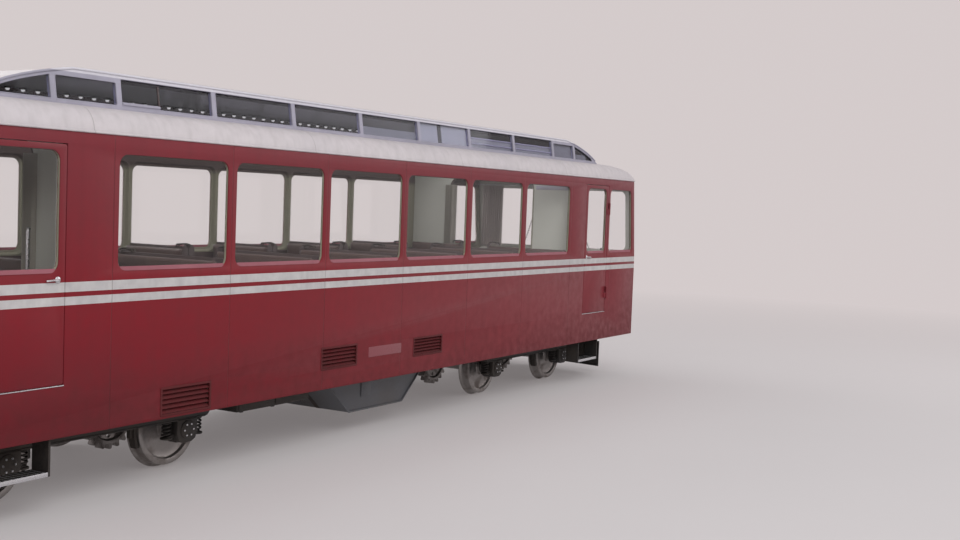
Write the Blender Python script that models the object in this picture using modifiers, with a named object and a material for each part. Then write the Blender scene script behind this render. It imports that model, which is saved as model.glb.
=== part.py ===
"""Cog railway car: a single railcar on two bogies with rack wheels. Metres, +X to the front end, +Z up.

The origin is midway between the two ends, at the height of the lowest points of the wheel flanges.
The right-hand side is at -Y and the left-hand side at +Y. The car has a cab and two doors at each end.
"""
import math

import bmesh
import bpy
from mathutils import Matrix, Vector

GAP = 0.0003  # between pieces that touch
REACH = 0.02  # how far a cutter passes the face it cuts, or a joined piece goes into the next

# Body shell: heights from the flanges' lowest points, lengths from the middle of the car
BODY_WIDTH = 2.90
WALL = 0.06
SKIRT_Z = 0.64
BELT_Z = 1.84
SILL_HEIGHT = 0.112
WINDOW_HEIGHT = 0.967
LETTERBOARD = 0.157
WINDOW_LOW_Z = BELT_Z + SILL_HEIGHT
WINDOW_TOP_Z = WINDOW_LOW_Z + WINDOW_HEIGHT
EAVE_Z = WINDOW_TOP_Z + LETTERBOARD
HALF_WIDTH = BODY_WIDTH / 2
INNER_Y = HALF_WIDTH - WALL
END_X = 6.66
END_RAKE = 0.14
END_DEPTH = 0.10
END_CORNER_R = 0.08
CORNER_STEPS = 3

# Floor and underframe
UNDERFRAME_Z = 0.86
UNDERFRAME_HEIGHT = 0.14
FLOOR_THICKNESS = 0.06
SOLE_BAR_WIDTH = 0.16
CENTRE_SILL_WIDTH = 0.36
UNDERFRAME_CELLS = ((0.07, 1.08), (1.22, 2.23), (2.37, 3.50), (4.40, 5.80))

# Windows, measured at the outer skin
WINDOW_CORNER_R = 0.09
WINDOW_REVEAL = 0.010
SALOON_WINDOWS = 6
WINDOW_PITCH = 1.42
SALOON_WINDOW_WIDTH = 1.31
CAB_WINDOW_X = (5.583, 6.485)
GLASS = 0.008
GLASS_LAP = 0.03

# Doors: the opening in the side wall and the leaf in it
DOOR_X = (4.74, 5.52)
DOOR_TOP_Z = EAVE_Z - 0.106
DOOR_WINDOW_X = (4.805, 5.455)
DOOR_THICKNESS = 0.05
DOOR_CLEARANCE = 0.006
DOOR_RECESS = 0.002
HINGE_R = 0.014
HINGE_STAND_OFF = 0.018
HINGE_LEAF = 0.05
HINGE_DEPTH = 0.02
HINGE_KNUCKLE = 0.09
HINGE_HEIGHTS = (1.35, 2.62)

# Windshields, one on each side of the centre post
WINDSHIELD_Y = (0.055, HALF_WIDTH - 0.13)

# Lamps on each end, in columns: height, distance from the middle, rim radius
LAMP_Y = HALF_WIDTH - 0.47
LAMPS = ((BELT_Z - 0.42, LAMP_Y, 0.13), (BELT_Z - 0.42, -LAMP_Y, 0.13), (EAVE_Z - 0.091, 0.0, 0.085))
LAMP_PROUD = 0.03
LAMP_RIM = 0.02

# Louvred grilles on the right-hand side, in columns: low X, high X, low Z, high Z
# The left-hand side has the same grilles turned end for end
GRILLES = ((-3.69, -3.06, 0.66, 0.92), (-1.45, -0.82, 0.84, 1.08), (0.26, 0.89, 0.83, 1.055))
GRILLE_SLOTS = 5
GRILLE_EDGE = 0.02
SLOT_SHARE = 0.55

# Roof: an outer shoulder from the eave to a ledge, and a glazed clerestory on the ledge
SHOULDER_RISE = 0.22
SHOULDER_INSET = 0.20
ROOF_NOSE = 0.95
ROOF_SHELL = 0.05
ROOF_STEPS = 5
CLERESTORY_BASE_Y = HALF_WIDTH - SHOULDER_INSET - 0.005
CLERESTORY_TOP_Y = CLERESTORY_BASE_Y - 0.045
CLERESTORY_HEIGHT = 0.295
CLERESTORY_SHELL = 0.04
CROWN_RISE = 0.08
CROWN_STEPS = 4
CROWN_STRAIGHT_X = 3.34
CROWN_END_LENGTH = 2.30
CROWN_END_STEPS = 6
CROWN_END_X = CROWN_STRAIGHT_X + CROWN_END_LENGTH
CLERESTORY_MULLIONS = (0.575, 1.725, 2.875, 4.025, CROWN_END_X - 0.93)
CLERESTORY_MULLION = 0.05
CLERESTORY_RAIL = 0.032
CLERESTORY_GLASS_GAP = 0.004
CLERESTORY_TIP_PANE_X = CROWN_END_X - 0.36
CROWN_SHEET_Y = CLERESTORY_TOP_Y - CLERESTORY_SHELL - GLASS
TIP_PANE_STEPS = 3
ROOF_OPENING = (CROWN_END_X - 0.69, HALF_WIDTH - SHOULDER_INSET - 0.10)

# Bulkheads between the saloon and the vestibules
BULKHEAD_X = 4.44
BULKHEAD = 0.04
PASSAGE_WIDTH = 1.45
PASSAGE_TOP_Z = EAVE_Z - 0.056
PASSAGE_CORNER_R = 0.16
BULKHEAD_TOP_Z = EAVE_Z + 0.144
BULKHEAD_ROOF_GAP = 0.01

# Benches: back to back at the window posts, two seats wide on the left and three on the right
SEAT_HEIGHT = 0.44
SEAT_DEPTH = 0.47
BACK_HEIGHT = 0.98
BACK_THICKNESS = 0.07
CUSHION = 0.12
SEAT_FOOT_INSET = 0.10
SEAT_ROOT = 0.04
BENCH_AISLE_Y = {"right": 0.01, "left": 0.45}
BENCH_WALL_GAP = 0.012
HEATER_DUCT = (0.11, 0.16)
HEATER_DUCT_INSET = 0.05

# Cab
DESK_DEPTH = 0.42
DESK_HALF_WIDTH = INNER_Y - 0.09
DESK_HEIGHT = 0.74
DESK_FRONT_RISE = 0.10
DESK_SHELF = 0.15
DESK_TOE = 0.10
DESK_EDGE = 0.08
CAB_SEAT_X = 5.72
CAB_SEAT_Y = 0.72
CAB_SEAT_SIZE = 0.44
CAB_SEAT_HEIGHT = 0.50
CAB_SEAT_BACK = 0.50
CAB_SEAT_CUSHION = 0.09
CAB_SEAT_BACK_THICKNESS = 0.08
CAB_SEAT_PEDESTAL_R = 0.07

# Running gear
BOGIE_X = 3.95
WHEELBASE = 2.00
FLANGE_R = 0.40
TREAD_R = 0.37
WHEEL_BACK_Y = 0.68
WHEEL_WIDTH = 0.135
FLANGE_WIDTH = 0.03
WEB_RECESS = 0.035
HUB_R = 0.11
AXLE_R = 0.08
JOURNAL_R = 0.06
JOURNAL_END_Y = 0.99
WHEEL_STEPS = 24
RIM_DEPTH = 0.06
HUB_PROUD = 0.02
FLANGE_TIP = 0.018
COG_TEETH = 20
COG_TIP_R = 0.325
COG_ROOT_R = 0.275
COG_WIDTH = 0.10

BOGIE_BEAM_Y = (0.92, 1.06)
BOGIE_BEAM_Z = (0.50, 0.64)
BOGIE_HALF_LENGTH = 1.30
BOLSTER_HALF_LENGTH = 0.28
BOLSTER_TOP_Z = 0.77
BOLSTER_TOP_INSET = (0.04, 0.10)
AXLE_BOX_Y = (0.885, 1.08)
AXLE_BOX_HALF_LENGTH = 0.14
AXLE_BOX_LOW_Z = 0.27
CENTRE_PLATE_R = 0.20

# Equipment below the floor
TANK_TOP_X = 0.98
TANK_LOW_X = 0.53
TANK_LOW_Z = 0.25
TANK_HALF_WIDTH = HALF_WIDTH - 0.30
ENGINE_X = (1.15, 2.30)
ENGINE_HALF_WIDTH = 0.60
ENGINE_LOW_Z = 0.34
BATTERY_X = (-2.30, -1.15)
BATTERY_HALF_WIDTH = HALF_WIDTH - 0.35
BATTERY_LOW_Z = 0.46

# Couplers, rail guards and door steps
COUPLER_Z = 0.74
DRAFT_BOX_X = 5.95
DRAFT_BOX_HALF = 0.15
DRAFT_BOX_LOW_Z = 0.62
SHANK_R = 0.05
BUFFER_R = 0.17
BUFFER_X = 6.82
BUFFER_THICKNESS = 0.045
COUPLER_SLOT = 0.20
GUARD_X = (6.12, 6.38)
GUARD_HALF_WIDTH = HALF_WIDTH - 0.33
GUARD_Z = (0.12, 0.52)
GUARD_PLATE = 0.025
GUARD_HANGER_Y = 0.80
GUARD_HANGER = 0.10
GUARD_HANGER_DEPTH = 0.11
GUARD_HANGER_LAP = 0.25
STEP_X = (4.80, 5.46)
STEP_Y = (INNER_Y - 0.20, INNER_Y - 0.005)
STEP_Z = 0.33
STEP_BOARD = 0.03
STEP_CHEEK = 0.02
STEP_LAP = 0.05

SIDE_END_X = END_X - END_DEPTH
FLOOR_LOW_Z = UNDERFRAME_Z + UNDERFRAME_HEIGHT + GAP
FLOOR_Z = FLOOR_LOW_Z + FLOOR_THICKNESS
DOOR_LOW_Z = FLOOR_Z + DOOR_CLEARANCE
LEDGE_Z = EAVE_Z + SHOULDER_RISE
CROWN_PEAK = SHOULDER_RISE + CLERESTORY_HEIGHT + CROWN_RISE
CLERESTORY_TOP_Z = LEDGE_Z + CLERESTORY_HEIGHT
AXLE_Z = FLANGE_R
ROUND_STEPS = 16
WELD = 0.00002

ENDS = {"front": 1, "rear": -1}
SIDES = {"right": -1, "left": 1}

# Colours are linear RGB; then roughness and metallic
MATERIALS = {
    "red_paint": ((0.30, 0.022, 0.030), 0.35, 0.1),
    "white_paint": ((0.62, 0.60, 0.60), 0.40, 0.0),
    "glass": ((0.10, 0.12, 0.13), 0.05, 0.0),
    "lining": ((0.33, 0.34, 0.30), 0.60, 0.0),
    "floor_covering": ((0.10, 0.10, 0.10), 0.80, 0.0),
    "seat_leather": ((0.09, 0.05, 0.045), 0.55, 0.0),
    "dark_steel": ((0.035, 0.035, 0.038), 0.60, 0.6),
    "wheel_steel": ((0.20, 0.19, 0.18), 0.40, 0.9),
    "tank_grey": ((0.16, 0.19, 0.21), 0.50, 0.1),
}

# An outline's own X and Y axes, and the axis it is extruded along
FRAMES = {
    "x": Matrix(((0, 0, 1), (1, 0, 0), (0, 1, 0))).to_4x4(),
    "y": Matrix(((1, 0, 0), (0, 0, -1), (0, 1, 0))).to_4x4(),
    "z": Matrix.Identity(4),
}


def clear_scene():
    for item in list(bpy.data.objects):
        bpy.data.objects.remove(item, do_unlink=True)


def make_collection(name):
    collection = bpy.data.collections.new(name)
    bpy.context.scene.collection.children.link(collection)
    return collection


def make_materials():
    made = {}
    for name, (colour, roughness, metallic) in MATERIALS.items():
        material = bpy.data.materials.new(name)
        material.use_nodes = True
        shader = material.node_tree.nodes["Principled BSDF"]
        shader.inputs["Base Color"].default_value = (*colour, 1.0)
        shader.inputs["Roughness"].default_value = roughness
        shader.inputs["Metallic"].default_value = metallic
        made[name] = material
    return made


clear_scene()
CAR = make_collection("cog_railway_car")
CUTTERS = make_collection("cutters")
PAINT = make_materials()


def box(bm, low, high):
    """Adds a box between two corners, in any order."""
    size = [abs(b - a) for a, b in zip(low, high)]
    centre = [(a + b) / 2 for a, b in zip(low, high)]
    place = Matrix.Translation(centre) @ Matrix.Diagonal((*size, 1.0))
    bmesh.ops.create_cube(bm, size=1.0, matrix=place)


def rod(bm, radius, axis, low, high, centre, steps=ROUND_STEPS):
    """Adds a cylinder along an axis from low to high; centre is its place on the other two axes."""
    index = "xyz".index(axis)
    place = list(centre)
    place.insert(index, (low + high) / 2)
    bmesh.ops.create_cone(bm, cap_ends=True, segments=steps, radius1=radius, radius2=radius,
                          depth=high - low, matrix=Matrix.Translation(place) @ FRAMES[axis])


def prism(bm, outline, axis, low, high):
    """Adds a flat outline, extruded along an axis from low to high, and returns its vertices.

    Each fill of the curve is made one face, because thin triangles would upset a Boolean.
    """
    curve = bpy.data.curves.new("outline", "CURVE")
    curve.dimensions = "2D"
    curve.fill_mode = "BOTH"
    curve.extrude = (high - low) / 2
    spline = curve.splines.new("POLY")
    spline.points.add(len(outline) - 1)
    for point, (u, v) in zip(spline.points, outline):
        point.co = (u, v, 0.0, 1.0)
    spline.use_cyclic_u = True
    guide = bpy.data.objects.new("outline", curve)
    bpy.context.scene.collection.objects.link(guide)
    shape = bpy.data.meshes.new_from_object(guide.evaluated_get(bpy.context.evaluated_depsgraph_get()))
    bpy.data.objects.remove(guide, do_unlink=True)
    piece = bmesh.new()
    piece.from_mesh(shape)
    bmesh.ops.remove_doubles(piece, verts=piece.verts, dist=WELD)
    fills = [face for face in piece.faces if len({vert.co.z > 0.0 for vert in face.verts}) == 1]
    bmesh.ops.delete(piece, geom=fills, context="FACES")
    bmesh.ops.holes_fill(piece, edges=piece.edges, sides=0)
    bmesh.ops.recalc_face_normals(piece, faces=piece.faces)
    middle = Vector((0.0, 0.0, 0.0))
    middle["xyz".index(axis)] = (low + high) / 2
    bmesh.ops.transform(piece, matrix=Matrix.Translation(middle) @ FRAMES[axis], verts=piece.verts)
    piece.to_mesh(shape)
    piece.free()
    first = len(bm.verts)
    bm.from_mesh(shape)
    bm.verts.ensure_lookup_table()
    return bm.verts[first:]


def arc(centre, radius, start, end, steps):
    """Points on an arc; radius is a number or the two half-axes of an ellipse; angles in degrees."""
    a, b = radius if isinstance(radius, tuple) else (radius, radius)
    angles = [math.radians(start + (end - start) * i / steps) for i in range(steps + 1)]
    return [(centre[0] + a * math.cos(t), centre[1] + b * math.sin(t)) for t in angles]


def rounded(corners, radius, steps=CORNER_STEPS):
    """A convex outline with its corners rounded; corners run anticlockwise."""
    points = []
    for i, corner in enumerate(corners):
        here = Vector(corner)
        before = (Vector(corners[i - 1]) - here).normalized()
        after = (Vector(corners[(i + 1) % len(corners)]) - here).normalized()
        half = before.angle(after) / 2
        centre = here + (before + after).normalized() * radius / math.sin(half)
        start = here + before * radius / math.tan(half) - centre
        turn = (math.pi - 2 * half) / steps
        for k in range(steps + 1):
            points.append(tuple(centre + Matrix.Rotation(turn * k, 2) @ start))
    return points


def rectangle(low, high):
    return [(low[0], low[1]), (high[0], low[1]), (high[0], high[1]), (low[0], high[1])]


def to_object(bm, name, collection):
    mesh = bpy.data.meshes.new(name)
    bm.to_mesh(mesh)
    bm.free()
    made = bpy.data.objects.new(name, mesh)
    collection.objects.link(made)
    return made


def part(bm, name, material):
    made = to_object(bm, name, CAR)
    made.data.materials.append(PAINT[material])
    return made


def combine(target, bm, operation):
    """Cuts, joins or keeps what bm holds; the tool for it stays as a wire object."""
    tool = to_object(bm, f"{target.name}_{operation.lower()}_{len(target.modifiers)}", CUTTERS)
    tool.hide_render = True
    tool.display_type = "WIRE"
    modifier = target.modifiers.new(tool.name, "BOOLEAN")
    modifier.operation = operation
    modifier.solver = "EXACT"
    modifier.object = tool
    return tool


def cut(target, bm):
    return combine(target, bm, "DIFFERENCE")


def join(target, bm):
    return combine(target, bm, "UNION")


def keep(target, bm):
    return combine(target, bm, "INTERSECT")


def pivot(made, point):
    """Moves an object's origin to a point, with its shape left where it is."""
    made.data.transform(Matrix.Translation(-Vector(point)))
    made.location = point


def mirrored(points, end):
    """An outline in X, turned end for end for the rear, still anticlockwise."""
    return points if end > 0 else [(-u, v) for u, v in reversed(points)]


def end_x(z, inset=0.0):
    """The outer face of the front end at a height, moved inwards by an inset."""
    share = max(0.0, (z - BELT_Z) / (EAVE_Z - BELT_Z))
    return END_X - END_RAKE * share - inset


def side_outline():
    end = [(end_x(z, END_DEPTH), z) for z in (SKIRT_Z, BELT_Z, EAVE_Z)]
    return end + [(-x, z) for x, z in reversed(end)]


def saloon_windows():
    first = -(SALOON_WINDOWS - 1) / 2
    half = SALOON_WINDOW_WIDTH / 2
    centres = [(first + i) * WINDOW_PITCH for i in range(SALOON_WINDOWS)]
    return [rectangle((x - half, WINDOW_LOW_Z), (x + half, WINDOW_TOP_Z)) for x in centres]


def cab_window(end):
    """The window beside the cab, whose front edge leans with the end of the car."""
    rear_x, low_x = CAB_WINDOW_X
    lean = end_x(WINDOW_LOW_Z) - end_x(WINDOW_TOP_Z)
    corners = [(rear_x, WINDOW_LOW_Z), (low_x, WINDOW_LOW_Z),
               (low_x - lean, WINDOW_TOP_Z), (rear_x, WINDOW_TOP_Z)]
    return mirrored(corners, end)


def door_window(end):
    low, high = (DOOR_WINDOW_X[0], WINDOW_LOW_Z), (DOOR_WINDOW_X[1], WINDOW_TOP_Z)
    return mirrored(rectangle(low, high), end)


def splayed_cutter(bm, corners, side, skin, depth):
    """A window's cutter, which narrows by the reveal from the skin to the inner face."""
    low, high = sorted((side * (skin + REACH), side * (skin - depth - REACH)))
    verts = prism(bm, rounded(corners, WINDOW_CORNER_R), "y", low, high)
    centre = [(min(c[i] for c in corners) + max(c[i] for c in corners)) / 2 for i in (0, 1)]
    half = [(max(c[i] for c in corners) - min(c[i] for c in corners)) / 2 for i in (0, 1)]
    slope = WINDOW_REVEAL / depth
    for vert in verts:
        inset = slope * (skin - abs(vert.co.y))
        vert.co.x = centre[0] + (vert.co.x - centre[0]) * (half[0] - inset) / half[0]
        vert.co.z = centre[1] + (vert.co.z - centre[1]) * (half[1] - inset) / half[1]


def hinge_axis(side, end):
    """Where the axis of a door's hinges stands in plan."""
    return end * DOOR_X[1], side * (HALF_WIDTH + HINGE_STAND_OFF)


def knuckles(side, end, on_wall):
    """The hinge knuckles of a door: the wall's stand on the leaf's, each a barrel with a tapered tab."""
    x, y = hinge_axis(side, end)
    way = end if on_wall else -end
    barrel = arc((0.0, HINGE_STAND_OFF), HINGE_R, 90, 270, 4)
    tab = [(HINGE_LEAF, HINGE_R / 2), (HINGE_LEAF, -HINGE_DEPTH), (HINGE_R, -HINGE_DEPTH)]
    outline = [(x + way * u, side * (HALF_WIDTH + v)) for u, v in tab + list(reversed(barrel))]
    bm = bmesh.new()
    for middle in HINGE_HEIGHTS:
        low = middle + GAP if on_wall else middle - HINGE_KNUCKLE
        prism(bm, outline, "z", low, low + HINGE_KNUCKLE)
    return bm


def make_side(name, side):
    bm = bmesh.new()
    low, high = sorted((side * INNER_Y, side * HALF_WIDTH))
    prism(bm, side_outline(), "y", low, high)
    wall = part(bm, f"side_{name}", "red_paint")
    holes = bmesh.new()
    for corners in saloon_windows() + [cab_window(1), cab_window(-1)]:
        splayed_cutter(holes, corners, side, HALF_WIDTH, WALL)
    for end in ENDS.values():
        box(holes, (end * DOOR_X[0], side * (INNER_Y - REACH), FLOOR_Z),
            (end * DOOR_X[1], side * (HALF_WIDTH + REACH), DOOR_TOP_Z))
    for x_low, x_high, z_low, z_high in GRILLES:
        pitch = (z_high - z_low - 2 * GRILLE_EDGE) / GRILLE_SLOTS
        for i in range(GRILLE_SLOTS):
            z = z_low + GRILLE_EDGE + pitch * (i + 0.5)
            half = pitch * SLOT_SHARE / 2
            box(holes, (-side * (x_low + GRILLE_EDGE), side * (INNER_Y - REACH), z - half),
                (-side * (x_high - GRILLE_EDGE), side * (HALF_WIDTH + REACH), z + half))
    cut(wall, holes)
    for end in ENDS.values():
        join(wall, knuckles(side, end, True))


def make_door(side_name, side, end_name, end):
    bm = bmesh.new()
    outer = side * (HALF_WIDTH - DOOR_RECESS)
    inner = outer - side * DOOR_THICKNESS
    box(bm, (end * (DOOR_X[0] + DOOR_CLEARANCE), inner, DOOR_LOW_Z),
        (end * (DOOR_X[1] - DOOR_CLEARANCE), outer, DOOR_TOP_Z - DOOR_CLEARANCE))
    leaf = part(bm, f"door_{side_name}_{end_name}", "red_paint")
    hole = bmesh.new()
    splayed_cutter(hole, door_window(end), side, HALF_WIDTH, WALL)
    cut(leaf, hole)
    join(leaf, knuckles(side, end, False))
    axis = (*hinge_axis(side, end), DOOR_LOW_Z)
    pivot(leaf, axis)
    pane = bmesh.new()
    corners = door_window(end)
    xs = [x for x, z in corners]
    face = inner - side * GAP
    box(pane, (min(xs), face, WINDOW_LOW_Z), (max(xs), face - side * GLASS, WINDOW_TOP_Z))
    glass = part(pane, f"door_glass_{side_name}_{end_name}", "glass")
    pivot(glass, axis)


def make_side_glass(name, side):
    half = (SALOON_WINDOWS - 1) / 2 * WINDOW_PITCH + SALOON_WINDOW_WIDTH / 2
    outer = side * (INNER_Y - GAP)
    bm = bmesh.new()
    box(bm, (-half, outer, WINDOW_LOW_Z), (half, outer - side * GLASS, WINDOW_TOP_Z))
    part(bm, f"glass_{name}", "glass")
    for end_name, end in ENDS.items():
        bm = bmesh.new()
        low, high = sorted((outer, outer - side * GLASS))
        prism(bm, cab_window(end), "y", low, high)
        part(bm, f"cab_glass_{name}_{end_name}", "glass")


def make_end(name, end):
    outline = [(end_x(z), z) for z in (SKIRT_Z, BELT_Z, EAVE_Z)]
    inner = [(end_x(z, END_DEPTH - GAP), z) for z in (EAVE_Z, BELT_Z, SKIRT_Z)]
    bm = bmesh.new()
    prism(bm, outline + inner, "y", -HALF_WIDTH, HALF_WIDTH)
    corners = [edge for edge in bm.edges if is_outer_corner(edge)]
    bmesh.ops.bevel(bm, geom=corners, offset=END_CORNER_R, offset_type="OFFSET",
                    segments=CORNER_STEPS, profile=0.5, affect="EDGES")
    turn_end(bm, end)
    wall = part(bm, f"end_{name}", "red_paint")
    rims = bmesh.new()
    for z, y, r in LAMPS:
        rod(rims, r, "x", end_x(z, END_DEPTH / 2), end_x(z) + LAMP_PROUD, (y, z))
    turn_end(rims, end)
    join(wall, rims)
    holes = bmesh.new()
    for side in SIDES.values():
        low, high = sorted((side * WINDSHIELD_Y[0], side * WINDSHIELD_Y[1]))
        corners = rounded(rectangle((low, WINDOW_LOW_Z), (high, WINDOW_TOP_Z)), WINDOW_CORNER_R)
        prism(holes, corners, "x", END_X - END_RAKE - 2 * END_DEPTH, END_X + LAMP_PROUD)
    for z, y, r in LAMPS:
        rod(holes, r - LAMP_RIM, "x", end_x(z), END_X + 2 * LAMP_PROUD, (y, z))
    box(holes, (END_X - 2 * END_DEPTH, -COUPLER_SLOT, SKIRT_Z - REACH),
        (END_X + REACH, COUPLER_SLOT, UNDERFRAME_Z))
    turn_end(holes, end)
    cut(wall, holes)


def is_outer_corner(edge):
    a, b = (vert.co for vert in edge.verts)
    on_skin = all(abs(v.x - end_x(v.z)) < WELD and abs(abs(v.y) - HALF_WIDTH) < WELD for v in (a, b))
    return on_skin and abs(a.z - b.z) > WELD


def turn_end(bm, end):
    """Turns what was drawn for the front end about the car's middle for the rear one."""
    if end < 0:
        bmesh.ops.rotate(bm, verts=bm.verts, cent=(0, 0, 0), matrix=Matrix.Rotation(math.pi, 3, "Z"))


def make_windshield(name, end):
    low, high = WINDOW_LOW_Z - GLASS_LAP, WINDOW_TOP_Z + GLASS_LAP
    seat = END_DEPTH
    outline = [(end_x(low, seat), low), (end_x(high, seat), high),
               (end_x(high, seat + GLASS), high), (end_x(low, seat + GLASS), low)]
    bm = bmesh.new()
    reach = WINDSHIELD_Y[1] + GLASS_LAP
    prism(bm, outline, "y", -reach, reach)
    turn_end(bm, end)
    part(bm, f"windshield_{name}", "glass")


def plan_loop(half_length, half_width, radius, z):
    corners = rectangle((-half_length, -half_width), (half_length, half_width))
    return [(x, y, z) for x, y in rounded(corners, radius)]


def loft(bm, loops):
    """A closed solid through loops that all have as many points, the lowest loop first."""
    rings = [[bm.verts.new(point) for point in loop] for loop in loops]
    count = len(rings[0])
    for lower, upper in zip(rings, rings[1:]):
        for i in range(count):
            j = (i + 1) % count
            bm.faces.new((lower[i], lower[j], upper[j], upper[i]))
    bm.faces.new(list(reversed(rings[0])))
    bm.faces.new(rings[-1])


def shoulder_loops(inset, base_z):
    """Plan loops up the roof's shoulder, moved inwards by an inset, from base_z up."""
    length, width = end_x(EAVE_Z), HALF_WIDTH
    loops = []
    for i in range(ROOF_STEPS + 1):
        t = math.radians(90 * i / ROOF_STEPS)
        half_length = length - ROOF_NOSE * (1 - math.cos(t)) - inset
        half_width = width - SHOULDER_INSET * (1 - math.cos(t)) - inset
        z = EAVE_Z + (SHOULDER_RISE - inset) * math.sin(t)
        loops.append(plan_loop(half_length, half_width, END_CORNER_R - inset / 2, z))
    loops[0] = [(x, y, base_z) for x, y, z in loops[0]]
    return loops


def make_roof_base():
    bm = bmesh.new()
    loft(bm, shoulder_loops(0.0, EAVE_Z + GAP))
    roof = part(bm, "roof_base", "white_paint")
    hollow = bmesh.new()
    loft(hollow, shoulder_loops(ROOF_SHELL, EAVE_Z - REACH))
    cut(roof, hollow)
    opening = bmesh.new()
    x, y = ROOF_OPENING
    box(opening, (-x, -y, EAVE_Z + SHOULDER_RISE / 2), (x, y, LEDGE_Z + REACH))
    cut(roof, opening)


def frame_y(z):
    """How far the clerestory's leaning frames are from the middle of the car at a height."""
    return CLERESTORY_BASE_Y - (CLERESTORY_BASE_Y - CLERESTORY_TOP_Y) * (z - LEDGE_Z) / CLERESTORY_HEIGHT


def crown_section(inset, low_z):
    """Cross-section of the clerestory, moved inwards by an inset, anticlockwise from the lower right."""
    foot = frame_y(low_z) - inset
    head_z = CLERESTORY_TOP_Z - inset
    crown = arc((0.0, head_z), (frame_y(head_z) - inset, CROWN_RISE), 0, 180, 2 * CROWN_STEPS)
    return [(foot, low_z)] + crown + [(-foot, low_z)]


def crown_profile(inset, low_z):
    """The clerestory in side view: straight, with a drooping end, both cut off at low_z."""
    a, b = CROWN_END_LENGTH - inset, CROWN_PEAK - inset
    last = math.degrees(math.asin((low_z - EAVE_Z) / b))
    front = arc((CROWN_STRAIGHT_X, EAVE_Z), (a, b), last, 90, CROWN_END_STEPS)
    return front + [(-x, z) for x, z in reversed(front)]


def edge_height(x, inset):
    """Height of the clerestory's upper edge at a place along the car, lowered by an inset."""
    past = max(0.0, abs(x) - CROWN_STRAIGHT_X) / CROWN_END_LENGTH
    droop = EAVE_Z + CROWN_PEAK * math.sqrt(max(0.0, 1 - past ** 2))
    return min(CLERESTORY_TOP_Z, droop) - inset


def clerestory_part(name, y_low, y_high):
    """What lies between two places across the car of the clerestory's thin shell."""
    bm = bmesh.new()
    prism(bm, crown_section(0.0, LEDGE_Z + GAP), "x", -END_X, END_X)
    shell = part(bm, name, "white_paint")
    side_view = bmesh.new()
    prism(side_view, crown_profile(0.0, LEDGE_Z - REACH), "y", -HALF_WIDTH, HALF_WIDTH)
    keep(shell, side_view)
    hollow = bmesh.new()
    prism(hollow, crown_section(CLERESTORY_SHELL, LEDGE_Z - REACH), "x", -END_X, END_X)
    limit = bmesh.new()
    prism(limit, crown_profile(CLERESTORY_SHELL, LEDGE_Z - 2 * REACH), "y", -HALF_WIDTH, HALF_WIDTH)
    keep(cut(shell, hollow), limit)
    share = bmesh.new()
    box(share, (-END_X, y_low, EAVE_Z), (END_X, y_high, EAVE_Z + CROWN_PEAK + REACH))
    keep(shell, share)
    return shell


def make_clerestory():
    """The crown's curved sheet, and a frame with panes on each side of it."""
    clerestory_part("roof_clerestory", -CROWN_SHEET_Y, CROWN_SHEET_Y)
    for name, side in SIDES.items():
        low, high = sorted((side * (CROWN_SHEET_Y + GAP), side * HALF_WIDTH))
        frame = clerestory_part(f"clerestory_frame_{name}", low, high)
        panes = bmesh.new()
        low, high = sorted((side * (CROWN_SHEET_Y - REACH), side * (CLERESTORY_BASE_Y + REACH)))
        for outline in pane_outlines():
            prism(panes, outline, "y", low, high)
        cut(frame, panes)


def pane_outlines():
    """The clerestory's panes in side view: upright ones between the posts and a tapered one at each end."""
    half = CLERESTORY_MULLION / 2
    sill = LEDGE_Z + CLERESTORY_RAIL
    posts = sorted([-x for x in CLERESTORY_MULLIONS] + list(CLERESTORY_MULLIONS))
    panes = []
    for x0, x1 in zip(posts, posts[1:]):
        head = min(edge_height(x, CLERESTORY_RAIL) for x in (x0, x1))
        panes.append(rectangle((x0 + half, sill), (x1 - half, head)))
    x0, x1 = CLERESTORY_MULLIONS[-1] + half, CLERESTORY_TIP_PANE_X
    stations = [x1 + (x0 - x1) * i / TIP_PANE_STEPS for i in range(TIP_PANE_STEPS + 1)]
    tapered = [(x0, sill), (x1, sill)] + [(x, edge_height(x, CLERESTORY_RAIL)) for x in stations]
    return panes + [mirrored(tapered, end) for end in ENDS.values()]


def make_clerestory_glass(name, side):
    """One thin band of glass behind the clerestory's frames on a side."""
    low_z = LEDGE_Z + CLERESTORY_GLASS_GAP
    top_z = CLERESTORY_TOP_Z - CLERESTORY_SHELL - 2 * CLERESTORY_GLASS_GAP
    outer = [(frame_y(z) - CLERESTORY_SHELL - GAP, z) for z in (low_z, top_z)]
    inner = [(y - GLASS, z) for y, z in reversed(outer)]
    bm = bmesh.new()
    prism(bm, [(side * y, z) for y, z in outer + inner], "x", -END_X, END_X)
    pane = part(bm, f"clerestory_glass_{name}", "glass")
    last = CLERESTORY_TIP_PANE_X + CLERESTORY_RAIL / 2
    pitch = (last - CLERESTORY_MULLIONS[-2]) / TIP_PANE_STEPS
    stations = [last - pitch * i for i in range(TIP_PANE_STEPS + 1)]
    top = [(x, edge_height(x, CLERESTORY_SHELL + CLERESTORY_GLASS_GAP)) for x in stations]
    outline = [(-last, low_z - REACH), (last, low_z - REACH)] + top + [(-x, z) for x, z in reversed(top)]
    limit = bmesh.new()
    prism(limit, outline, "y", -HALF_WIDTH, HALF_WIDTH)
    keep(pane, limit)


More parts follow.
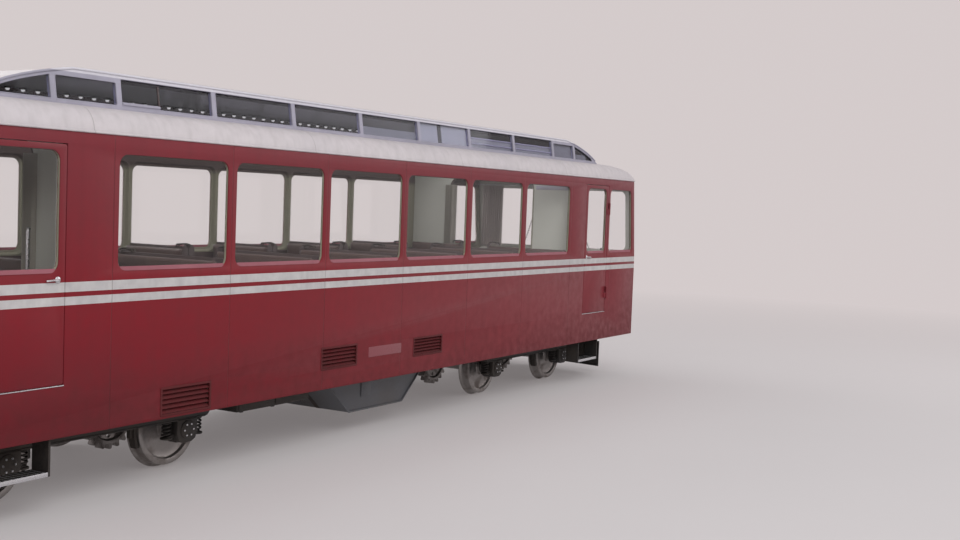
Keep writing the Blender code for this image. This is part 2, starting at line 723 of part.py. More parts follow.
def make_underframe():
    bm = bmesh.new()
    top = UNDERFRAME_Z + UNDERFRAME_HEIGHT
    edge = INNER_Y - GAP
    box(bm, (-SIDE_END_X, -edge, UNDERFRAME_Z), (SIDE_END_X, edge, top))
    frame = part(bm, "underframe", "dark_steel")
    pockets = bmesh.new()
    for x_low, x_high in UNDERFRAME_CELLS:
        for end in ENDS.values():
            for side in SIDES.values():
                box(pockets, (end * x_low, side * CENTRE_SILL_WIDTH / 2, UNDERFRAME_Z - REACH),
                    (end * x_high, side * (edge - SOLE_BAR_WIDTH), top + REACH))
    cut(frame, pockets)
    for side in SIDES.values():
        for end in ENDS.values():
            join(frame, door_step(side, end))


def door_step(side, end):
    """A step board between two cheeks, below one door."""
    top = UNDERFRAME_Z + STEP_LAP
    x_low, x_high = STEP_X
    outline = [(x_low, top), (x_low, STEP_Z), (x_high, STEP_Z), (x_high, top), (x_high - STEP_CHEEK, top),
               (x_high - STEP_CHEEK, STEP_Z + STEP_BOARD), (x_low + STEP_CHEEK, STEP_Z + STEP_BOARD),
               (x_low + STEP_CHEEK, top)]
    bm = bmesh.new()
    low, high = sorted(side * y for y in STEP_Y)
    prism(bm, [(end * x, z) for x, z in outline], "y", low, high)
    return bm


def make_floor():
    bm = bmesh.new()
    edge = INNER_Y - GAP
    box(bm, (-SIDE_END_X, -edge, FLOOR_LOW_Z), (SIDE_END_X, edge, FLOOR_Z))
    part(bm, "floor", "floor_covering")


def make_bulkhead(name, end):
    bm = bmesh.new()
    edge = INNER_Y - GAP - GLASS
    neck = ROOF_OPENING[1] - BULKHEAD_ROOF_GAP
    outline = [(-edge, FLOOR_Z + GAP), (edge, FLOOR_Z + GAP), (edge, EAVE_Z), (neck, BULKHEAD_TOP_Z),
               (-neck, BULKHEAD_TOP_Z), (-edge, EAVE_Z)]
    x = sorted((end * BULKHEAD_X, end * (BULKHEAD_X + BULKHEAD)))
    prism(bm, outline, "x", *x)
    wall = part(bm, f"bulkhead_{name}", "lining")
    passage = bmesh.new()
    corners = rectangle((-PASSAGE_WIDTH / 2, FLOOR_Z - 2 * PASSAGE_CORNER_R),
                        (PASSAGE_WIDTH / 2, PASSAGE_TOP_Z))
    prism(passage, rounded(corners, PASSAGE_CORNER_R), "x", x[0] - REACH, x[1] + REACH)
    cut(wall, passage)


def bench_half():
    """Half of a double bench in side view, from its foot to the top of its back."""
    seat_z = FLOOR_Z + SEAT_HEIGHT
    return [(SEAT_DEPTH - SEAT_FOOT_INSET, FLOOR_Z + GAP), (SEAT_DEPTH - SEAT_FOOT_INSET, seat_z - CUSHION),
            (SEAT_DEPTH, seat_z - CUSHION), (SEAT_DEPTH, seat_z), (BACK_THICKNESS + SEAT_ROOT, seat_z),
            (BACK_THICKNESS, FLOOR_Z + BACK_HEIGHT)]


def bench_outlines():
    """A single bench at each bulkhead and a double bench at each window post."""
    half = SALOON_WINDOWS // 2
    shape = bench_half()
    outlines = []
    for i in range(1 - half, half):
        x = i * WINDOW_PITCH
        outlines.append([(x + u, z) for u, z in shape] + [(x - u, z) for u, z in reversed(shape)])
    reach = BULKHEAD_X - GAP
    for end in ENDS.values():
        closed = [(0.0, shape[0][1])] + shape + [(0.0, shape[-1][1])]
        outlines.append([(end * (reach - u), z) for u, z in closed])
    return outlines


def make_seats(name, side):
    wall_y = INNER_Y - GLASS - BENCH_WALL_GAP
    low, high = sorted((side * wall_y, side * BENCH_AISLE_Y[name]))
    duct_width, duct_height = HEATER_DUCT
    reach = BULKHEAD_X - HEATER_DUCT_INSET
    bm = bmesh.new()
    box(bm, (-reach, side * (wall_y + BENCH_WALL_GAP / 2), FLOOR_Z + BENCH_WALL_GAP),
        (reach, side * (wall_y - duct_width), FLOOR_Z + duct_height))
    seats = part(bm, f"seats_{name}", "seat_leather")
    benches = bmesh.new()
    for outline in bench_outlines():
        prism(benches, outline, "y", low, high)
    join(seats, benches)


def make_desk(name, end):
    bm = bmesh.new()
    back = SIDE_END_X - DESK_DEPTH
    top = FLOOR_Z + DESK_HEIGHT
    shelf_z = top + DESK_FRONT_RISE
    shelf_x = end_x(shelf_z, END_DEPTH)
    outline = [(back + DESK_TOE, FLOOR_Z + GAP), (SIDE_END_X, FLOOR_Z + GAP), (SIDE_END_X, BELT_Z),
               (shelf_x, shelf_z), (shelf_x - DESK_SHELF, shelf_z), (back, top), (back, top - DESK_EDGE)]
    prism(bm, outline, "y", -DESK_HALF_WIDTH, DESK_HALF_WIDTH)
    turn_end(bm, end)
    part(bm, f"desk_{name}", "lining")


def make_cab_seat(name, end):
    bm = bmesh.new()
    half = CAB_SEAT_SIZE / 2
    seat_z = FLOOR_Z + CAB_SEAT_HEIGHT
    x, y = CAB_SEAT_X, -CAB_SEAT_Y
    back = CAB_SEAT_BACK_THICKNESS
    outline = [(x - half, seat_z - CAB_SEAT_CUSHION), (x + half, seat_z - CAB_SEAT_CUSHION),
               (x + half, seat_z), (x - half + back, seat_z),
               (x - half + back / 2, seat_z + CAB_SEAT_BACK), (x - half - back / 2, seat_z + CAB_SEAT_BACK)]
    prism(bm, outline, "y", y - half, y + half)
    turn_end(bm, end)
    seat = part(bm, f"driver_seat_{name}", "seat_leather")
    stand = bmesh.new()
    rod(stand, CAB_SEAT_PEDESTAL_R, "z", FLOOR_Z + GAP, seat_z - CAB_SEAT_CUSHION / 2, (x, y))
    turn_end(stand, end)
    join(seat, stand)


def wheelset_profile():
    """Half of a wheelset's turned profile, from the journal's end to the middle, as radius and place."""
    rim_y = WHEEL_BACK_Y + WHEEL_WIDTH
    web_y = rim_y - WEB_RECESS
    hub_y = rim_y + HUB_PROUD
    rim_r = TREAD_R - RIM_DEPTH
    return [(0.0, JOURNAL_END_Y), (JOURNAL_R, JOURNAL_END_Y), (JOURNAL_R, hub_y), (HUB_R, hub_y),
            (HUB_R, web_y), (rim_r, web_y), (rim_r, rim_y), (TREAD_R, rim_y),
            (TREAD_R, WHEEL_BACK_Y + FLANGE_WIDTH), (FLANGE_R, WHEEL_BACK_Y + FLANGE_TIP),
            (FLANGE_R, WHEEL_BACK_Y), (AXLE_R, WHEEL_BACK_Y)]


def make_wheelset(name, x):
    half = wheelset_profile()
    points = half + [(r, -y) for r, y in reversed(half)]
    bm = bmesh.new()
    verts = [bm.verts.new((r, 0.0, y)) for r, y in points]
    for a, b in zip(verts, verts[1:]):
        bm.edges.new((a, b))
    wheelset = part(bm, name, "wheel_steel")
    turn = wheelset.modifiers.new("turn", "SCREW")
    turn.axis = "Z"
    turn.steps = WHEEL_STEPS
    turn.render_steps = WHEEL_STEPS
    turn.use_merge_vertices = True
    turn.merge_threshold = WELD
    wheelset.rotation_euler = (-math.pi / 2, 0.0, 0.0)
    wheelset.location = (x, 0.0, AXLE_Z)
    teeth = bmesh.new()
    outline = [(x + u, AXLE_Z + v) for u, v in cog_outline()]
    prism(teeth, outline, "y", -COG_WIDTH / 2, COG_WIDTH / 2)
    join(wheelset, teeth)


def cog_outline():
    """The rack wheel's teeth: each rises from the root circle to a narrower tip."""
    step = 2 * math.pi / COG_TEETH
    corners = ((COG_ROOT_R, -0.32), (COG_TIP_R, -0.14), (COG_TIP_R, 0.14), (COG_ROOT_R, 0.32))
    return [(r * math.cos((i + share) * step), r * math.sin((i + share) * step))
            for i in range(COG_TEETH) for r, share in corners]


def make_bogie(name, end):
    centre = end * BOGIE_X
    bm = bmesh.new()
    half = BOGIE_HALF_LENGTH
    low, high = BOGIE_BEAM_Z
    inner, outer = BOGIE_BEAM_Y
    bolster = BOLSTER_HALF_LENGTH
    plan = [(-half, -outer), (half, -outer), (half, -inner), (bolster, -inner),
            (bolster, inner), (half, inner), (half, outer), (-half, outer),
            (-half, inner), (-bolster, inner), (-bolster, -inner), (-half, -inner)]
    prism(bm, [(centre + x, y) for x, y in plan], "z", low, high)
    bogie = part(bm, f"bogie_{name}", "dark_steel")
    top = bmesh.new()
    reach_x, reach_y = bolster - BOLSTER_TOP_INSET[0], inner - BOLSTER_TOP_INSET[1]
    box(top, (centre - reach_x, -reach_y, high - REACH), (centre + reach_x, reach_y, BOLSTER_TOP_Z))
    join(bogie, top)
    plate = bmesh.new()
    rod(plate, CENTRE_PLATE_R, "z", BOLSTER_TOP_Z - REACH, UNDERFRAME_Z - GAP, (centre, 0.0))
    join(bogie, plate)
    boxes = bmesh.new()
    bores = bmesh.new()
    bore_r = (JOURNAL_R + GAP) / math.cos(math.pi / WHEEL_STEPS)
    for x in (centre - WHEELBASE / 2, centre + WHEELBASE / 2):
        for side in SIDES.values():
            near, far = (side * y for y in AXLE_BOX_Y)
            box(boxes, (x - AXLE_BOX_HALF_LENGTH, near, AXLE_BOX_LOW_Z),
                (x + AXLE_BOX_HALF_LENGTH, far, low + REACH))
            start, stop = sorted((near - side * REACH, side * (JOURNAL_END_Y + GAP)))
            rod(bores, bore_r, "y", start, stop, (x, AXLE_Z), WHEEL_STEPS)
    join(bogie, boxes)
    cut(bogie, bores)
    pivot(bogie, (centre, 0.0, UNDERFRAME_Z))


def make_tank():
    """The tank across the middle of the car, with its lower sides drawn in."""
    top = UNDERFRAME_Z - GAP
    outline = [(-TANK_LOW_X, TANK_LOW_Z), (TANK_LOW_X, TANK_LOW_Z), (TANK_TOP_X, SKIRT_Z),
               (TANK_TOP_X, top), (-TANK_TOP_X, top), (-TANK_TOP_X, SKIRT_Z)]
    bm = bmesh.new()
    prism(bm, outline, "y", -TANK_HALF_WIDTH, TANK_HALF_WIDTH)
    part(bm, "fuel_tank", "tank_grey")


def make_under_floor_block(name, span, half_width, low_z):
    bm = bmesh.new()
    box(bm, (span[0], -half_width, low_z), (span[1], half_width, UNDERFRAME_Z - GAP))
    part(bm, name, "dark_steel")


def make_coupler(name, end):
    bm = bmesh.new()
    box(bm, (DRAFT_BOX_X, -DRAFT_BOX_HALF, DRAFT_BOX_LOW_Z),
        (SIDE_END_X, DRAFT_BOX_HALF, UNDERFRAME_Z - GAP))
    turn_end(bm, end)
    coupler = part(bm, f"coupler_{name}", "dark_steel")
    shank = (SHANK_R, SIDE_END_X - REACH, BUFFER_X + REACH)
    buffer = (BUFFER_R, BUFFER_X, BUFFER_X + BUFFER_THICKNESS)
    for radius, low, high in (shank, buffer):
        turned = bmesh.new()
        rod(turned, radius, "x", low, high, (0.0, COUPLER_Z))
        turn_end(turned, end)
        join(coupler, turned)


def make_rail_guard(name, end):
    wing_x, nose_x = GUARD_X
    outline = [(wing_x, -GUARD_HALF_WIDTH), (nose_x, 0.0), (wing_x, GUARD_HALF_WIDTH),
               (wing_x - GUARD_PLATE, GUARD_HALF_WIDTH), (nose_x - GUARD_PLATE, 0.0),
               (wing_x - GUARD_PLATE, -GUARD_HALF_WIDTH)]
    bm = bmesh.new()
    prism(bm, outline, "z", *GUARD_Z)
    turn_end(bm, end)
    guard = part(bm, f"rail_guard_{name}", "dark_steel")
    hangers = bmesh.new()
    for side in SIDES.values():
        y = side * GUARD_HANGER_Y
        back_x = wing_x - GUARD_PLATE
        box(hangers, (back_x, y - GUARD_HANGER / 2, GUARD_Z[1] - GUARD_HANGER_LAP),
            (back_x + GUARD_HANGER_DEPTH, y + GUARD_HANGER / 2, UNDERFRAME_Z - GAP))
    turn_end(hangers, end)
    join(guard, hangers)


def main():
    make_underframe()
    make_floor()
    make_roof_base()
    make_clerestory()
    for name, side in SIDES.items():
        make_side(name, side)
        make_side_glass(name, side)
        make_clerestory_glass(name, side)
        make_seats(name, side)
        for end_name, end in ENDS.items():
            make_door(name, side, end_name, end)
    for name, end in ENDS.items():
        make_end(name, end)
        make_windshield(name, end)
        make_bulkhead(name, end)
        make_desk(name, end)
        make_cab_seat(name, end)
        make_bogie(name, end)
        make_coupler(name, end)
        make_rail_guard(name, end)
        for place, shift in (("inner", -WHEELBASE / 2), ("outer", WHEELBASE / 2)):
            make_wheelset(f"wheelset_{name}_{place}", end * (BOGIE_X + shift))
    make_tank()
    make_under_floor_block("engine", ENGINE_X, ENGINE_HALF_WIDTH, ENGINE_LOW_Z)
    make_under_floor_block("battery_box", BATTERY_X, BATTERY_HALF_WIDTH, BATTERY_LOW_Z)


main()
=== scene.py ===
"""Looks of the cog railway car: shells, glazing, seats, running gear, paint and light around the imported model."""
import math

import bmesh
import bpy
from mathutils import Matrix, Vector


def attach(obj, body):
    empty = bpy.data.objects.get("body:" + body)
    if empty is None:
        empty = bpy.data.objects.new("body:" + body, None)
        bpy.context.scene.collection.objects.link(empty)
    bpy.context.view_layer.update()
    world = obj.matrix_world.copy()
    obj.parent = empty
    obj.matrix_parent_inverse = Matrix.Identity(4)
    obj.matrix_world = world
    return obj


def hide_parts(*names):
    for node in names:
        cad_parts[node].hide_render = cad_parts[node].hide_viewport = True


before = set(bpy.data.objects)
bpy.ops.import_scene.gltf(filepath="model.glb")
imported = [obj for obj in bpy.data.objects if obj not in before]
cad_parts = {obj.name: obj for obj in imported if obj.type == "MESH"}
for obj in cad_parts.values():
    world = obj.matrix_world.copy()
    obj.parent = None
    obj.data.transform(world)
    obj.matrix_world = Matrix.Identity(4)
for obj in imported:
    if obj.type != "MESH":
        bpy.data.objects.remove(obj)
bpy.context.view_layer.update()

# Sizes as in the CAD, in metres
HALF_WIDTH, WALL = 1.45, 0.06
INNER_Y = HALF_WIDTH - WALL
SKIRT_Z, BELT_Z, EAVE_Z = 0.64, 1.84, 3.076
END_X, END_RAKE, END_DEPTH, END_CORNER_R = 6.66, 0.14, 0.10, 0.08
FLOOR_Z, HUNG_Z = 1.0603, 0.8595  # top of the floor, and of what hangs below it
WINDOW_Z = (1.952, 2.919)
WINDOW_PITCH, WINDOW_WIDTH = 1.42, 1.31
CAB_WINDOW_X = (5.583, 6.485)
DOOR_X, DOOR_Z = (4.74, 5.52), (1.0663, 2.964)
DOOR_WINDOW_X = (4.805, 5.455)
WINDOW_R, REVEAL, GLASS_DEPTH, SKIN_DEPTH = 0.09, 0.006, 0.020, 0.032
HINGE_Y, HINGE_HEIGHTS = 1.468, (1.35, 2.62)
WINDSHIELD_Y = (0.055, 1.32)
LAMPS = ((1.42, 0.98, 0.13), (1.42, -0.98, 0.13), (2.985, 0.0, 0.085))  # height, place across, radius
GRILLES = ((-3.69, -3.06, 0.66, 0.92), (-1.45, -0.82, 0.84, 1.08), (0.26, 0.89, 0.83, 1.055))
STRIPES = ((1.839, 0.039), (1.7285, 0.0335))  # middle and half height
SHOULDER_RISE, SHOULDER_INSET, ROOF_NOSE = 0.22, 0.20, 0.95
LEDGE_Z = EAVE_Z + SHOULDER_RISE
CLERESTORY_BASE_Y, CLERESTORY_TOP_Y, CLERESTORY_HEIGHT = 1.245, 1.20, 0.295
CLERESTORY_TOP_Z = LEDGE_Z + CLERESTORY_HEIGHT
CROWN_RISE, CROWN_STRAIGHT_X, CROWN_END_LENGTH = 0.08, 3.34, 2.30
CROWN_PEAK = SHOULDER_RISE + CLERESTORY_HEIGHT + CROWN_RISE
MULLIONS = (0.575, 1.725, 2.875, 4.025, 4.71)
TIP_PANE_X, VENT_X = 5.28, (3.56, 3.99)
BULKHEAD_X, BULKHEAD = 4.44, 0.04
BOGIE_X, WHEELBASE, AXLE_Z = 3.95, 2.0, 0.40

# Sizes of the details, in metres
SIDE_SHELL_X = ((-4.43, 4.43), (-6.2, -5.6), (5.6, 6.2))  # dark inner sheets below the windows
BLANK_PLATE = ((-0.615, 0.905), (0.015, 1.017))
DOOR_Y = (1.448, 1.408, 1.400)  # outer skin, inner skin and lining
HANDLE_X, HANDLE_Z = 0.075, 1.90  # from the door's free edge, and from the ground
TAIL_LAMP = (1.42, 1.20)  # height and place across
WIPER_FOOT, WIPER_TIP, WIPER_BLADE_Z = (0.62, 1.93), (0.40, 2.50), (2.28, 2.50, 2.72)
HAND_RAIL_Z, LAMP_PITCH, LAMP_Y = 1.60, 0.18, 0.97
CURTAIN_Z, CURTAIN_Y, CURTAIN_FOLDS, ROD_X = (1.93, 2.938), (0.905, 1.295), 10, 6.406
PASSAGE_Y, PASSAGE_R, PASSAGE_TOP_Z = 0.725, 0.16, 3.02
BENCH_WIDTHS = {"right": (1.36, 3), "left": (0.92, 2)}  # width and number of seats
DRIVER_X, DRIVER_Y = 5.72, 0.72
JOURNAL_R, BEAM_Y, BEAM_Z, SPRING_Y = 0.0608, (0.92, 1.06), (0.50, 0.64), 0.99
DAMPER_X, DAMPER_Y, DAMPER_Z = (0.30, 0.80), 1.078, 0.60
TEETH, COG_BORE = 20, 0.2615
TANK_Y, TANK_MIDDLE_Z = 1.135, 0.555
BATTERY_BOX, HATCH_Y = ((-2.29, -1.085, 0.47), (-1.16, 1.085, HUNG_Z)), 1.094
COUPLER_Z, GUARD_Z, GUARD_HANGER_Y = 0.74, (0.12, 0.52), 0.80
STEP_X, STEP_Y, STEP_Z = (4.822, 5.438), (1.195, 1.380), 0.364
AIR_PIPE_Y, AIR_PIPE_Z, BEARER_X = 1.30, 0.842, (-3.0, -2.5, 2.5, 3.0)

ENDS = {"front": 1, "rear": -1}
SIDES = {"right": -1, "left": 1}
FRAMES = {
    "x": Matrix(((0, 0, 1), (1, 0, 0), (0, 1, 0))).to_4x4(),
    "y": Matrix(((1, 0, 0), (0, 0, -1), (0, 1, 0))).to_4x4(),
    "z": Matrix.Identity(4),
}
BACKGROUND = (0.66, 0.60, 0.60)


# Materials

class Shader:
    """A Principled material under construction."""

    def __init__(self, name, colour, roughness=0.5, metallic=0.0, **others):
        self.material = bpy.data.materials.new(name)
        self.material.use_nodes = True
        self.tree = self.material.node_tree
        self.main = self.tree.nodes["Principled BSDF"]
        settings = {"Base_Color": colour, "Roughness": roughness, "Metallic": metallic, **others}
        for socket, value in settings.items():
            self.feed(self.main.inputs[socket.replace("_", " ")], value)
        self.place = self.node("TexCoord").outputs["Object"]

    def feed(self, socket, value):
        if isinstance(value, bpy.types.NodeSocket):
            self.tree.links.new(value, socket)
        else:
            socket.default_value = (*value, 1.0) if socket.type == "RGBA" else value

    def node(self, kind, inputs=None, **settings):
        """A new node, with values or other nodes' outputs fed to some of its inputs."""
        made = self.tree.nodes.new("ShaderNode" + kind)
        for name, value in settings.items():
            setattr(made, name, value)
        for socket, value in (inputs or {}).items():
            self.feed(made.inputs[socket], value)
        return made

    def math(self, operation, *values, clamp=False):
        return self.node("Math", dict(enumerate(values)), operation=operation, use_clamp=clamp).outputs[0]

    def axis(self, letter):
        return self.node("SeparateXYZ", {0: self.place}).outputs[letter]

    def noise(self, scale, stretch=(1, 1, 1), detail=4.0, low=0.3, high=0.7):
        """Noise from 0 to 1, with the part between low and high spread out."""
        place = self.node("Mapping", {"Vector": self.place, "Scale": stretch}).outputs[0]
        texture = self.node("TexNoise", {"Vector": place, "Scale": scale, "Detail": detail})
        return self.range(texture.outputs[0], low, high)

    def range(self, value, low, high, start=0.0, stop=1.0):
        names = ("Value", "From Min", "From Max", "To Min", "To Max")
        return self.node("MapRange", dict(zip(names, (value, low, high, start, stop)))).outputs[0]

    def mix(self, share, a, b):
        return self.node("Mix", {"Factor": share, 6: a, 7: b}, data_type="RGBA").outputs[2]

    def tinted(self, colour, other, mask, amount):
        return self.mix(self.math("MULTIPLY", mask, amount), colour, other)

    def bump(self, height, distance, strength=1.0, normal=None):
        made = self.node("Bump", {"Strength": strength, "Distance": distance, "Height": height})
        if normal is not None:
            self.feed(made.inputs["Normal"], normal)
        return made.outputs[0]

    def blend(self, share, other):
        """Mixes another shader into the surface."""
        mixed = self.node("MixShader", {0: share, 1: self.main.outputs[0], 2: other.outputs[0]})
        self.feed(self.tree.nodes["Material Output"].inputs["Surface"], mixed.outputs[0])
        return self.material

    def done(self, colour=None, roughness=None, normal=None):
        for socket, value in (("Base Color", colour), ("Roughness", roughness), ("Normal", normal)):
            if value is not None:
                self.feed(self.main.inputs[socket], value)
        return self.material


def enamel(name, colour, pale, dust, gloss=0.30, seam=None, stripes=False, dust_z=(1.30, 0.60), streak=0.5,
           top=None):
    """Aged vehicle enamel: uneven colour, rain streaks, road dust low down, seams and a slightly wavy sheet; the
    stripes option adds painted shade low down towards the rear, and the top option a painted highlight above a
    height.
    """
    s = Shader(name, colour, gloss, Coat_Weight=0.0, Specular_IOR_Level=0.18)
    x, z = s.axis("X"), s.axis("Z")
    fine = s.noise(9.0, detail=8.0)
    tint = s.tinted(colour, pale, s.noise(0.9, low=0.35, high=0.65), 0.55)
    tint = s.tinted(tint, dust, fine, 0.12)
    # with top, the part above that height is painted paler: a painted highlight of a top rail lit from above
    if top:
        tint = s.mix(s.range(z, top - 0.004, top), tint, (0.66, 0.64, 0.69))
    if stripes:
        # the red turns duller and more purple towards the eave and towards the front
        duller_high_and_forward = s.math("ADD", s.range(z, 1.9, 3.05, 0.02, 0.15), s.range(x, -2.0, 6.0, 0.0, 0.08))
        tint = s.mix(duller_high_and_forward, tint, (0.17, 0.15, 0.17))
        # painted shade: the red darkens towards the bottom and towards the rear end
        painted_shade_low_rear = s.math("MULTIPLY", s.range(z, 1.65, 0.80, 0.0, 0.5), s.range(x, 0.5, -4.2))
        tint = s.mix(painted_shade_low_rear, tint, (0.105, 0.003, 0.009))
        band = s.math("MAXIMUM", *(s.math("COMPARE", z, middle, half) for middle, half in STRIPES))
        tint = s.mix(band, tint, s.mix(fine, (0.48, 0.46, 0.46), (0.58, 0.56, 0.55)))
    dusty = s.math("MULTIPLY", s.math("MULTIPLY_ADD", fine, 0.7, 0.3), s.range(z, *dust_z), clamp=True)
    tint = s.tinted(tint, dust, dusty, 0.50)
    streaks = s.noise(1.0, stretch=(14.0, 14.0, 0.6), detail=5.0, low=0.45, high=0.75)
    tint = s.tinted(tint, dust, streaks, 0.16 * streak)
    rough = s.math("ADD", s.math("MULTIPLY_ADD", fine, 0.14, gloss), s.math("MULTIPLY", dusty, 0.3), clamp=True)
    normal = s.bump(s.noise(1.6, stretch=(1.0, 1.0, 2.0), detail=1.0, low=0.2, high=0.8), 0.006, 0.5)
    if seam:
        pitch, start = seam
        groove = s.range(s.math("PINGPONG", s.math("SUBTRACT", x, start), pitch / 2), 0.0, 0.006)
        tint = s.tinted(tint, dust, s.math("SUBTRACT", 1.0, groove), 0.45)
        normal = s.bump(groove, 0.003, 1.0, normal)
    return s.done(tint, rough, s.bump(fine, 0.0004, 0.5, normal))


def dusty_steel(name, colour, dust, gloss=0.55, metallic=0.3, scale=14.0, amount=0.5):
    s = Shader(name, colour, gloss, metallic)
    grit = s.noise(scale * 3, detail=8.0)
    patches = s.math("MULTIPLY_ADD", grit, 0.5, s.noise(2.5, detail=6.0, low=0.4, high=0.7))
    share = s.math("MULTIPLY", patches, amount, clamp=True)
    rough = s.math("MULTIPLY_ADD", share, 0.35, gloss, clamp=True)
    return s.done(s.mix(share, colour, dust), rough, s.bump(grit, 0.0012, 0.7))


def clear_glass(name, tint, index, gloss=0.03):
    """Pane glass that lets the lamps through, with faint dust."""
    s = Shader(name, tint, gloss, Transmission_Weight=1.0, IOR=index)
    smear = s.noise(3.0, stretch=(1.0, 1.0, 0.4), detail=6.0)
    s.done(None, s.range(smear, 0.0, 1.0, gloss * 0.4, gloss * 1.4))
    see = s.node("BsdfTransparent", {"Color": [c * 0.98 for c in tint]})
    return s.blend(s.node("LightPath").outputs["Is Shadow Ray"], see)


def leather(name, colour, worn):
    s = Shader(name, colour, Sheen_Weight=0.15)
    cells = s.node("TexVoronoi", {"Vector": s.place, "Scale": 260.0})
    patches = s.noise(4.0, detail=5.0, low=0.4, high=0.7)
    return s.done(s.tinted(colour, worn, patches, 0.5), s.range(patches, 0.0, 1.0, 0.42, 0.62),
                  s.bump(cells.outputs["Distance"], 0.0012, 0.5))


def ribbed_floor(name, colour):
    s = Shader(name, colour, 0.75)
    ribs = s.math("PINGPONG", s.axis("Y"), 0.012)
    dirt = s.noise(3.0, detail=7.0)
    return s.done(s.tinted(colour, (0.13, 0.11, 0.09), dirt, 0.5), s.range(dirt, 0.0, 1.0, 0.6, 0.85),
                  s.bump(s.range(ribs, 0.003, 0.006), 0.0015))


def laminate(name, colour, other, top=None):
    """Laminate or enamelled sheet inside the car; above a height it may be painted dark brown, a painted shade."""
    s = Shader(name, colour, Coat_Weight=0.1)
    flecks = s.noise(60.0, detail=4.0, low=0.45, high=0.6)
    tint = s.tinted(s.tinted(colour, other, s.noise(0.8, detail=3.0), 0.3), other, flecks, 0.10)
    if top:
        # painted shade: above the height the sheet turns dark brown
        tint = s.mix(s.range(s.axis("Z"), top - 0.07, top), tint, (0.065, 0.045, 0.042))
    return s.done(tint, s.range(flecks, 0.0, 1.0, 0.45, 0.6), s.bump(flecks, 0.0003, 0.4))


def woven(name, colour, other):
    """Plain cloth with crossing threads, a little faded."""
    s = Shader(name, colour, 0.85, Sheen_Weight=0.2)
    threads = s.math("ADD", s.math("PINGPONG", s.axis("Z"), 0.0008), s.math("PINGPONG", s.axis("Y"), 0.0008))
    faded = s.noise(3.0, stretch=(1.0, 1.0, 0.4), detail=5.0)
    return s.done(s.tinted(colour, other, faded, 0.6), None, s.bump(s.range(threads, 0.0, 0.0016), 0.0006, 0.5))


def bare_metal(name, colour, gloss=0.3, brown=(0.10, 0.05, 0.03), rust=0.3):
    s = Shader(name, colour, gloss, 0.9)
    scratch = s.noise(40.0, stretch=(1.0, 6.0, 1.0), detail=4.0)
    share = s.math("MULTIPLY", s.noise(6.0, detail=8.0, low=0.5, high=0.75), rust)
    s.feed(s.main.inputs["Metallic"], s.math("SUBTRACT", 0.9, share))
    rough = s.math("ADD", s.math("MULTIPLY_ADD", scratch, 0.15, gloss), share, clamp=True)
    return s.done(s.mix(share, colour, brown), rough, s.bump(scratch, 0.0003))


def soft_rubber(name, colour):
    s = Shader(name, colour, 0.6)
    dirt = s.noise(22.0, detail=6.0)
    return s.done(s.tinted(colour, (0.07, 0.06, 0.05), dirt, 0.4), s.range(dirt, 0.0, 1.0, 0.5, 0.75),
                  s.bump(dirt, 0.0004))


def lamp_glass(name, colour, **others):
    s = Shader(name, colour, 0.12, Coat_Weight=0.8, Coat_Roughness=0.05, **others)
    ribs = s.math("PINGPONG", s.axis("Y"), 0.008)
    # the grooves between the lens ribs are painted darker, a painted shade
    tint = s.mix(s.range(ribs, 0.0, 0.008, 0.1, 0.5), colour, [c * 0.55 for c in colour])
    tint = s.tinted(tint, (0.12, 0.10, 0.09), s.noise(18.0, detail=5.0), 0.2)
    return s.done(tint, None, s.bump(s.range(ribs, 0.0, 0.008), 0.002))


NO_DUST = (-2.0, -3.0)
RED_TINTS = (0.225, 0.012, 0.020), (0.195, 0.017, 0.024), (0.075, 0.026, 0.025)
RED = enamel("red_enamel", *RED_TINTS, stripes=True, seam=(WINDOW_PITCH, 0.0))
DOOR_RED = enamel("door_red_enamel", *RED_TINTS, stripes=True)
LOUVRE = enamel("louvre_enamel", (0.125, 0.012, 0.016), (0.10, 0.013, 0.016), (0.05, 0.032, 0.028), gloss=0.42)
WHITE = enamel("white_enamel", (0.66, 0.61, 0.62), (0.58, 0.54, 0.56), (0.22, 0.20, 0.19), gloss=0.36,
               seam=(2 * WINDOW_PITCH, 1.20), dust_z=NO_DUST, streak=0.8)
# the frames' top rail above 3.562 m is painted paler, a painted highlight
FRAME = enamel("pale_frame_enamel", (0.41, 0.39, 0.47), (0.35, 0.34, 0.40), (0.16, 0.15, 0.15), gloss=0.38,
               dust_z=NO_DUST, top=3.562)
# a paler pink than the body: painted highlight of light falling on the sloping sills
SILL_HIGHLIGHT = enamel("sill_painted_highlight", (0.31, 0.10, 0.125), (0.35, 0.13, 0.155), (0.13, 0.07, 0.065), gloss=0.38)
CEILING = laminate("ceiling_enamel", (0.10, 0.10, 0.10), (0.07, 0.07, 0.072))
LINING = laminate("grey_green_laminate", (0.50, 0.505, 0.455), (0.42, 0.43, 0.385))
# above 2.923 m the trim turns dark brown, a painted shade at the window heads
TRIM = laminate("olive_trim", (0.23, 0.22, 0.16), (0.18, 0.175, 0.125), top=2.923)
JAMB = laminate("brown_folding_door", (0.31, 0.29, 0.25), (0.25, 0.235, 0.20))
SHELL = laminate("brown_shell", (0.060, 0.040, 0.040), (0.045, 0.030, 0.030))
PLATE = laminate("blank_plate", (0.24, 0.060, 0.072), (0.21, 0.052, 0.064))
SHADES = [laminate(f"roof_shade_{word}", (c, c, c * 1.02), (c * 0.8, c * 0.8, c * 0.82))
          for word, c in (("dark", 0.18), ("mid", 0.26), ("light", 0.38))]
FLOOR = ribbed_floor("ribbed_floor", (0.055, 0.052, 0.05))
LEATHER = leather("brown_leather", (0.060, 0.032, 0.028), (0.10, 0.058, 0.045))
CURTAIN = woven("curtain_cloth", (0.44, 0.385, 0.37), (0.34, 0.30, 0.29))
DARK = dusty_steel("dark_steel", (0.022, 0.021, 0.022), (0.085, 0.066, 0.052))
